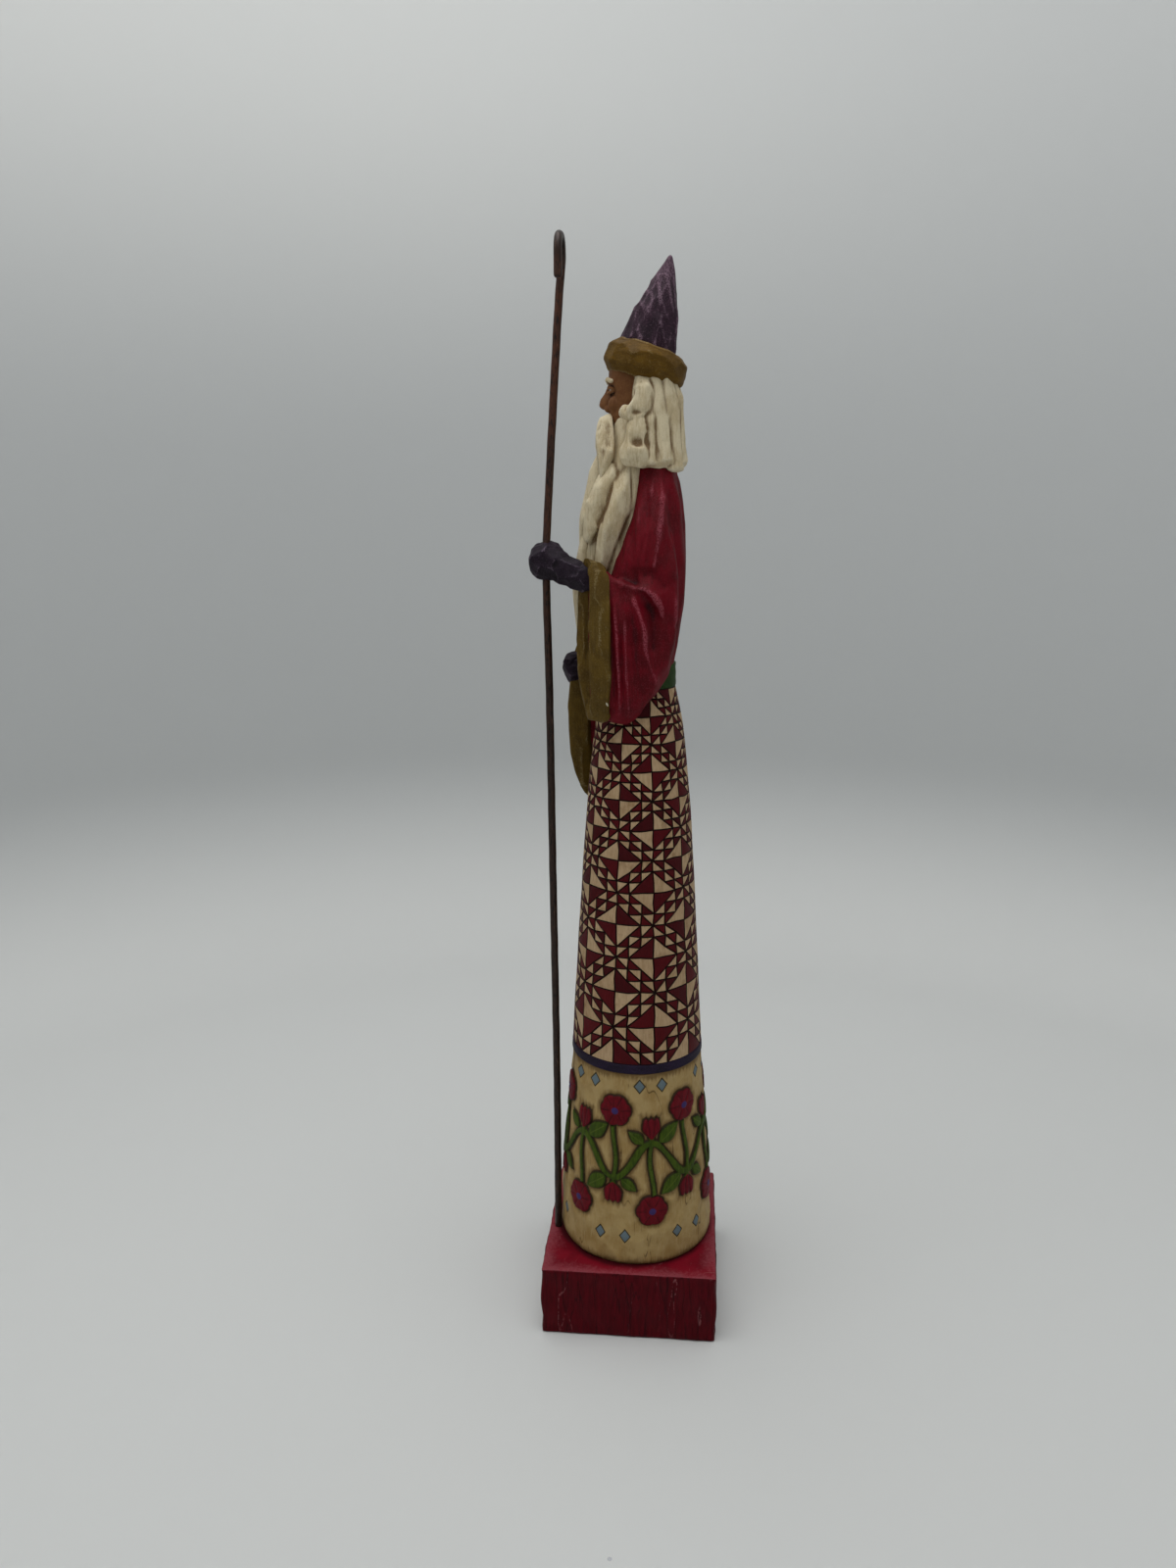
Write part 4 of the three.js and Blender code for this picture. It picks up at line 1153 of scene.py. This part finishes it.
# %% Hair that falls as a short cape
def hair():
    half = through((364, 13.2), (366.4, 14.6), (373, 14.2), (387, 12.4), (402, 10.8))
    front = through((364, -1), (366.4, -2.6), (387, -5), (402, -5))
    back = through((364, 15), (366.4, 17), (373, 16.2), (387, 13.6), (402, 12))
    forms = [stacked("cap", 364, 402, half, front, back, square=0.3, sides=72, rows=40)]
    for i in range(8):
        turn = np.radians(-8 + 196 * i / 7)
        low = 364.4 + 1.7 * np.sin(2.3 * i)
        line = []
        for k, z in enumerate((402, 390, 377, low)):
            leant = turn + 0.09 * (k - 1.5) * np.cos(turn)
            cos, sin = np.cos(leant), np.sin(leant)
            reach = 1 + 0.3 * (cos * sin) ** 2
            line.append(((10.8 + 0.85 * k) * cos * reach, 5.0 + (7.6 + 1.5 * k) * sin * reach, z))
        forms.append(lock(line, (np.cos(turn), np.sin(turn), 0.05), 5.4 + 0.8 * np.sin(5 * i),
                          2.4 + 0.5 * np.sin(3 * i), 1.9, 0.75, (0.1, 0.04)))
    forms += side_locks()
    piece = fused("hair", forms, voxel=0.36, rounds=2)
    gouge(piece, 43, 4.0, 0.9, stretch=(1, 1, 4.5))
    hollow(piece, (17, 0.8, 373.4), (5, 3.4, 2.4), 1.5)
    hollow(piece, (17, 1.6, 384.2), (5, 4.0, 1.1), 0.6)
    return piece


def side_locks():
    """The curl before each ear, and the square tuft under it."""
    forms = both([(11.6, 1.4, 399), (13.4, 2.6, 393.5), (14.6, 2.4, 388.5), (14.9, -0.6, 385.4),
                  (14.0, -3.8, 384.9), (13.2, -5.0, 387.2)], (1, 0, 0), 4.2, 2.3, 0.85, 1.0, (0.1, 0.12))
    wide = ((0, 3.4), (0.35, 4.0), (0.55, 4.4), (0.7, 6.0), (1, 5.6))
    deep = ((0, 2.6), (0.45, 2.8), (0.7, 3.4), (1, 2.8))
    for side in (-1, 1):
        line = sided(side, (12.8, 0.8, 384.4), (14.2, 0.4, 378), (14.2, -0.2, 371.5), (12.8, -0.8, 364.4))
        forms.append(limb("tuft", line, (side, -0.05, 0), wide, deep, 0.75, (0.07, 0.07), 40, 60))
        facet(forms[-1], 8, 5.0, 0.7, stretch=(1, 1, 1.6))
    return forms


def hollow(piece, at, size, depth):
    """Press a pit into the piece at a point, and at its mirror image."""
    places = points(piece)
    mirror = np.abs(places) * (1, 0, 0) + places * (0, 1, 1)
    gap = (((mirror - at) / size) ** 2).sum(1)
    put(piece, places - normals(piece) * (depth * np.exp(-gap))[:, None])


cream = antiqued("beard paint", (216, 202, 170), (192, 174, 139), (102, 73, 41), (228, 218, 192),
                 cuts=(0.0, 1.2), ridges=(0.4, 1.6), streak=(1, 1, 7), brush=0.6, speckle=0.15)
for piece in (beard(), moustache(), hair()):
    worn(piece)
    dress(piece, cream)
    print(piece.name, "is carved and painted")

# %% [markdown]
# ## The face
# The face is this model's own: calm, on ordinary proportions, with a straight nose, soft
# cheeks and lidded eyes half way up the head. The eyes and brows are pieces of their own.

# %% Head, nose and cheeks
def head():
    half = through((376, 7.4), (386, 9.8), (394, 10.4), (402, 10.6), (408, 9))
    front = through((376, -9.5), (382, -11.4), (387, -11.2), (392.6, -10.5), (396.6, -11.5), (402, -11),
                    (408, -8))
    egg = stacked("egg", 376, 408, half, front, lambda z: 8 + 0 * z, square=0.12, sides=72, rows=60)
    nose = limb("nose", [(0, -9.4, 397.2), (0, -10.2, 393.6), (0, -11.2, 389.6), (0, -11.4, 386.2)],
                (0, -1, 0), ((0, 1.6), (0.4, 2.2), (0.75, 3.1), (1, 2.8)),
                ((0, 1.8), (0.4, 2.6), (0.8, 4.0), (1, 3.0)), keel=1.25, ends=(0.15, 0.18))
    forms = [egg, nose]
    for side in (-1, 1):
        forms += [
            limb("nostril", sided(side, (1.3, -10.6, 387.4), (2.1, -11.9, 386.9), (2.7, -10.4, 386.8)),
                 (0, 0, 1), ((0, 1.3), (1, 1.3)), ((0, 1.2), (1, 1.2)), ends=(0.3, 0.3)),
            limb("cheek", sided(side, (3.4, -9.8, 388.6), (6, -9.3, 388.2), (8.2, -7, 388)),
                 (side * 0.4, -1, 0), ((0, 1.8), (0.5, 3.0), (1, 2.0)),
                 ((0, 1.2), (0.5, 2.0), (1, 1.2)), ends=(0.4, 0.4)),
            limb("ridge", sided(side, (1.2, -10.4, 396.3), (4.4, -10.4, 397), (8, -8, 396.2)),
                 (side * 0.3, -1, 0), ((0, 1.2), (1, 1.2)), ((0, 1.4), (1, 1.3)), ends=(0.3, 0.3)),
        ]
    piece = fused("face", forms, voxel=0.3, rounds=4)
    hollow(piece, (4.3, -11, 393.3), (2.6, 3, 1.6), 0.7)
    gouge(piece, 51, 3.2, 0.4)
    lids = []
    for side in (-1, 1):
        for height, drop in ((394.5, 0.75), (392.5, -0.6)):
            lid = sided(side, (2.0, -10.3, height - drop), (4.3, -11.2, height), (6.8, -9.1, height - drop))
            lids.append(limb("lid", lid, (0, -1, 0), ((0, 0.45), (0.5, 0.6), (1, 0.45)),
                             ((0, 0.5), (0.5, 0.7), (1, 0.5)), ends=(0.2, 0.2)))
    piece = fused("face", [piece, *lids], voxel=0.29, rounds=1)
    worn(piece)
    return piece


dress(head(), antiqued(
    "skin paint", (118, 78, 46), (104, 66, 38), (46, 22, 8), (160, 116, 80),
    cuts=(0.4, 1.8), ridges=(0.8, 2.2), streak=(1, 1, 2), brush=0.3, speckle=0.12))

# %% Eyes and brows
SIDES = {-1: "right", 1: "left"}


def eye(side):
    bpy.ops.mesh.primitive_uv_sphere_add(segments=32, ring_count=20, radius=1)
    ball = named("eye_" + SIDES[side])
    sphere = points(ball) * MM
    put(ball, np.array([side * 4.3, -9.75, 393.5]) + sphere * (2.2, 1.3, 1.2))
    mark(ball, "pupil", np.linalg.norm(sphere - (side * 0.28, -0.96, -0.04), axis=1))
    smooth_shaded(ball)
    return ball


def eye_paint():
    paint = Paint("eye paint")
    pupil = paint.attribute("pupil")
    white = paint.coats((168, 156, 138), ((120, 96, 76), pupil.over(0.5, 1.0)))
    iris = paint.coats((10, 8, 8), ((54, 40, 34), pupil.over(0.14, 0.22)))
    return paint.finish(paint.coats(iris, (white, pupil.over(0.42, 0.47))), 0.35)


def brow(side):
    form = limb("brow", sided(side, (1.7, -11.4, 396.6), (4.4, -11.7, 397.4), (8, -9.3, 396.4)),
                (0, -1, 0.2), ((0, 0.8), (0.4, 1.1), (1, 0.6)), ((0, 0.6), (0.4, 0.8), (1, 0.55)), 1.2)
    piece = fused("brow_" + SIDES[side], [form], voxel=0.2, rounds=2)
    gouge(piece, 52, 1.6, 0.3)
    worn(piece, broad=12)
    return piece


glance = eye_paint()
for side in SIDES:
    dress(eye(side), glance)
    dress(brow(side), cream)
print("the face has eyes and brows")

# %% [markdown]
# ## Hat and brim
# The hat leans its point back over the neck. Long strokes run up to the tip and broad
# diamond scoops ring its foot. The brim is a thick fur roll, cut in flat facets.

# %% Hat
def hat():
    half = through((401, 10.6), (414, 10.2), (424, 7.6), (434, 4.0), (440, 1.8), (442, 1.1), (442.5, 0.5))
    front = through((401, -7), (412.5, -6.4), (422.7, -2.3), (429, 2.2), (436, 6.8), (440.6, 10.2),
                    (442, 11.1), (442.5, 11.7))
    back = through((401, 13.5), (410, 14.6), (417.4, 15.2), (427, 14.7), (436, 14), (440.6, 13.1),
                   (442, 12.7), (442.5, 12.3))
    piece = stacked("hat", 401, 442.5, half, front, back, sides=150, rows=160)

    def low(places):
        return 1 - blend_step(places[:, 2], 417, 428)

    def high(places):
        return blend_step(places[:, 2], 415, 426) * (1 - blend_step(places[:, 2], 432, 441) * 0.7)

    facet(piece, 65, 5.4, 0.8, stretch=(1, 1, 1.9), where=low)
    gouge(piece, 61, 5.4, 1.2, stretch=(1, 1, 1.9), where=low)
    gouge(piece, 62, 2.8, 1.1, stretch=(1, 1, 5), where=high)
    worn(piece, broad=60, fine=10)
    crest = np.empty(len(piece.data.vertices), np.float32)
    piece.data.attributes["crest"].data.foreach_get("value", crest)
    mark(piece, "crest", crest + 1.6 * blend_step(points(piece)[:, 2], 416, 436))
    return piece


dress(hat(), antiqued(
    "hat paint", (50, 30, 43), (35, 21, 31), (12, 7, 10), (142, 114, 130),
    cuts=(0.2, 1.6), ridges=(0.4, 2.1), streak=(1, 1, 8), brush=0.65, speckle=0.15, mottle=0.3))

# %% Brim
def brim():
    profile = ((0.0, -0.5, 0.0), (0.08, -0.5, 0.74), (0.2, -0.42, 0.9), (0.35, -0.2, 0.985), (0.5, 0.05, 1.0),
               (0.68, 0.34, 0.94), (0.82, 0.48, 0.83), (0.92, 0.5, 0.72), (1.0, 0.5, 0.0))
    rise = through(*[(w, z) for w, z, _ in profile])
    reach = through(*[(w, r) for w, _, r in profile])

    def place(turn, way):
        radius = BRIM_RADIUS * np.clip(reach(way), 0.02, 1)
        x, y, z = radius * np.cos(turn), radius * np.sin(turn), BRIM_THICK * rise(way)
        cos, sin = np.cos(BRIM_TILT), np.sin(BRIM_TILT)
        return np.stack([x, y * cos - z * sin, y * sin + z * cos], 1) + BRIM_CENTRE

    piece = rolled("hat_brim", 220, 90, place)
    facet(piece, 64, 5.6, 0.85, stretch=(1.2, 1.2, 1))
    gouge(piece, 63, 4.4, 0.7, stretch=(1.3, 1.3, 1))
    worn(piece, broad=50)
    return piece


dress(brim(), antiqued(
    "brim paint", (103, 74, 14), (83, 58, 10), (36, 20, 2), (152, 130, 88),
    cuts=(0.2, 1.6), ridges=(0.5, 1.7), streak=(4, 4, 1), brush=0.55, speckle=0.2))

# %% [markdown]
# ## The staff
# The staff is a metal rod, bowed by hand and bent to a hook, painted copper brown. Its grid
# is rolled along the same line as the solid.

# %% Staff
STAFF_LINE = ((25, -33.6), (104, -33.6), (195, -34.4), (279, -35.1), (328.6, -35.8), (356, -34.4),
              (392.6, -32.1), (427.8, -29.7), (440.2, -28.5))


def staff():
    bow = through(*STAFF_LINE)
    low, high = SOCKET_FLOOR, STAFF_LINE[-1][0]
    arc = np.pi * HOOK_RADIUS
    whole = (high - low) + arc + HOOK_DROP

    def centre(way):
        along = way * whole
        z = np.clip(low + along, low, high)
        past = np.clip(along - (high - low), 0, arc)
        down = np.clip(along - (high - low) - arc, 0, None)
        x = STAFF_X + HOOK_RADIUS * (1 - np.cos(past / HOOK_RADIUS))
        return np.stack([x, bow(z), z + HOOK_RADIUS * np.sin(past / HOOK_RADIUS) - down], 1)

    def place(turn, way):
        blunt = np.minimum(np.clip(way / 0.002, 0, 1), np.clip((1 - way) / 0.002, 0, 1))
        dents = 0.05 * np.sin(40 * way + turn) * np.sin(170 * way - 2 * turn)
        radius = ROD_RADIUS * (0.75 + 0.25 * np.sqrt(1 - (1 - blunt) ** 2)) + dents - 0.03
        return beside(centre, way, 0.001, (0, 1, 0), radius * np.cos(turn), radius * np.sin(turn))

    piece = rolled("staff_rod", 24, 700, place)
    smooth_shaded(piece, 50)
    return piece


def staff_paint():
    paint = Paint("rod paint", specular=0.4)
    speckle = paint.noise(0.9, stretch=(1, 1, 3), detail=5, rough=0.75)
    patches = paint.noise(12, stretch=(1, 1, 2), detail=4)
    rise = paint.axis("Z")
    copper = rise.over(240, 400) * rise.under(435, 442)
    colour = paint.coats((46, 29, 20), ((78, 43, 27), copper),
                         ((44, 30, 24), patches.over(0.45, 0.62) * 0.6),
                         ((12, 9, 8), speckle.over(0.5, 0.62) * 0.9),
                         ((128, 92, 70), speckle.under(0.3, 0.4) * 0.5))
    paint.shader.inputs["Metallic"].default_value = 0.3
    return paint.finish(colour, speckle * 0.3 + 0.28, speckle, strength=0.35)


dress(staff(), staff_paint(), "staff")
print("the staff is", round(STAFF_LINE[-1][0] + HOOK_RADIUS + ROD_RADIUS, 1), "mm high")

# %% [markdown]
# ## The block
# The block is a sawn piece with slightly waved sides and rubbed edges. A cube is sized,
# subdivided and bevelled, and then worn by moving its points.

# %% Block
EDGE_ROUND, BLOCK_VOXEL, WORN_WITHIN = 0.9, 0.95, 1.2


def base_block():
    bpy.ops.mesh.primitive_cube_add(size=1, location=(0, 0, BLOCK_HIGH / 2 * MM),
                                    scale=(BLOCK_WIDE * MM, BLOCK_DEEP * MM, BLOCK_HIGH * MM))
    piece = named("block")
    bpy.ops.object.transform_apply(location=True, rotation=False, scale=True)
    bpy.ops.object.mode_set(mode="EDIT")
    bpy.ops.mesh.select_all(action="SELECT")
    bpy.ops.mesh.bevel(offset=EDGE_ROUND * MM, segments=4, profile=0.55, affect="EDGES")
    bpy.ops.object.mode_set(mode="OBJECT")
    applied(piece, "REMESH", mode="VOXEL", voxel_size=BLOCK_VOXEL * MM)
    places = points(piece)
    x, y, z = places.T
    level = np.clip(np.minimum(z, BLOCK_HIGH - z) / 1.5, 0, 1)
    wave = 0.22 + 0.3 * np.sin(0.23 * (x + y) + 0.31 * z + np.sign(x + 2 * y))
    wave += 0.12 * np.sin(0.9 * (x - y) + 0.2 * z)
    near_x = (np.abs(x) > BLOCK_WIDE / 2 - WORN_WITHIN) * level
    near_y = (np.abs(y) > BLOCK_DEEP / 2 - WORN_WITHIN) * level
    put(piece, places - np.stack([wave * near_x * np.sign(x), wave * near_y * np.sign(y), 0 * z], 1))
    worn(piece, angle=50, broad=14, fine=3)
    print("block:", len(piece.data.polygons), "faces")
    return piece


def block_paint():
    paint = Paint("block paint", specular=0.1)
    height = paint.attribute("relief")
    upward = paint.add("ShaderNodeSeparateXYZ", {}, paint.add("ShaderNodeNewGeometry", {}, out="Normal"),
                       out="Z").over(0.6, 0.9)
    strokes = paint.noise(1.2, stretch=(1, 1, 7), detail=5, rough=0.7)
    cloud = paint.noise(14, detail=4)
    edge = abs(paint.axis("X")).most(abs(paint.axis("Y")) + 4)
    brushed = (edge + (strokes + cloud - 1) * 14).over(34, 42)
    around = paint.add("ShaderNodeVectorMath", {"operation": "LENGTH"},
                       paint.add("ShaderNodeVectorMath", {"operation": "MULTIPLY"}, paint.places,
                                 (1000 / ROBE_WIDEN, 1000, 0)), out="Value")
    shadow = (around + (cloud - 0.5) * 5).under(33.6, 36.5)
    scratches = paint.thread(17, (1, 1, 7), 0.004, 3.0) * paint.noise(2).over(0.45, 0.6)
    grain = paint.thread(5, (1, 1, 14), 0.02, 9.0, 2.0) * (1 - upward)
    rubbed = (height + (strokes - 0.5) * 1.2).over(1.6, 4.0) * cloud.over(0.35, 0.6)
    # The top and the sides are lit and shaded copies of one red: the top, where it faces up, is painted
    # lighter, as painted light from above.
    side = paint.coats((82, 0, 12), ((66, 0, 8), strokes.over(0.38, 0.64)),
                       ((106, 28, 40), strokes.over(0.58, 0.74) * cloud.over(0.4, 0.6) * 0.5))
    top = paint.coats((118, 8, 28), ((98, 2, 20), cloud.over(0.4, 0.6)),
                      ((146, 72, 80), brushed * 0.6), ((36, 2, 6), shadow * 0.8))
    colour = paint.coats(side, (top, upward), ((146, 90, 92), scratches * 0.5),
                         ((26, 0, 4), grain * 0.6), ((150, 82, 88), rubbed * 0.55))
    return paint.finish(colour, strokes * 0.2 + 0.5, strokes * 0.6 - grain * 0.8, strength=0.4)


dress(base_block(), block_paint(), "base_block")

# %% [markdown]
# ## The studio
# The photo was taken in a small light tent: a pale sheet runs from the floor up behind, and
# the light is soft and comes from above. None of this is part of the object.

# %% Sheet and lights
TENT_X = 150


def backdrop():
    """A pale tent: a flat floor that curves up into a round wall, open above."""
    flat, bend, wall = 540.0, 140.0, 900.0
    whole = flat + bend * np.pi / 2 + wall

    def place(turn, way):
        along = np.clip(way, 0.0005, 1) * whole
        arc = np.clip(along - flat, 0, bend * np.pi / 2) / bend
        reach = np.minimum(along, flat) + bend * np.sin(arc)
        z = bend * (1 - np.cos(arc)) + np.maximum(along - flat - bend * np.pi / 2, 0)
        return np.stack([TENT_X + reach * np.cos(turn), reach * np.sin(turn), z], 1)

    tent = sheet("backdrop", 120, 200, place)
    smooth_shaded(tent)
    paint = Paint("backdrop paint", specular=0.1)
    rise = paint.axis("Z")
    shade = rise.over(10, 160) * (1 - rise.over(380, 700) * (1 - paint.axis("Y").over(-300, 400) * 0.6))
    wear(tent, paint.finish(paint.coats((214, 215, 213), ((188, 190, 190), shade)), 0.8))


def studio():
    backdrop()
    world = bpy.data.worlds.new("even sky")
    bpy.context.scene.world = world
    world.use_nodes = True
    sky = world.node_tree.nodes["Background"].inputs
    sky["Color"].default_value = (0.93, 0.96, 1.0, 1)
    sky["Strength"].default_value = 0.42
    for name, place, size, strength in (("top light", (0.15, -0.1, 1.25), 0.9, 7.0),
                                        ("side light", (0.8, 0.9, 0.9), 0.8, 1.5)):
        bpy.ops.object.light_add(type="AREA", location=place)
        lamp = bpy.context.object
        lamp.name = name
        lamp.data.size = size
        lamp.data.energy = strength
        aim = Vector((0, 0, 0.2)) - Vector(place)
        lamp.rotation_euler = aim.to_track_quat("-Z", "Y").to_euler()


studio()
bpy.ops.object.select_all(action="DESELECT")
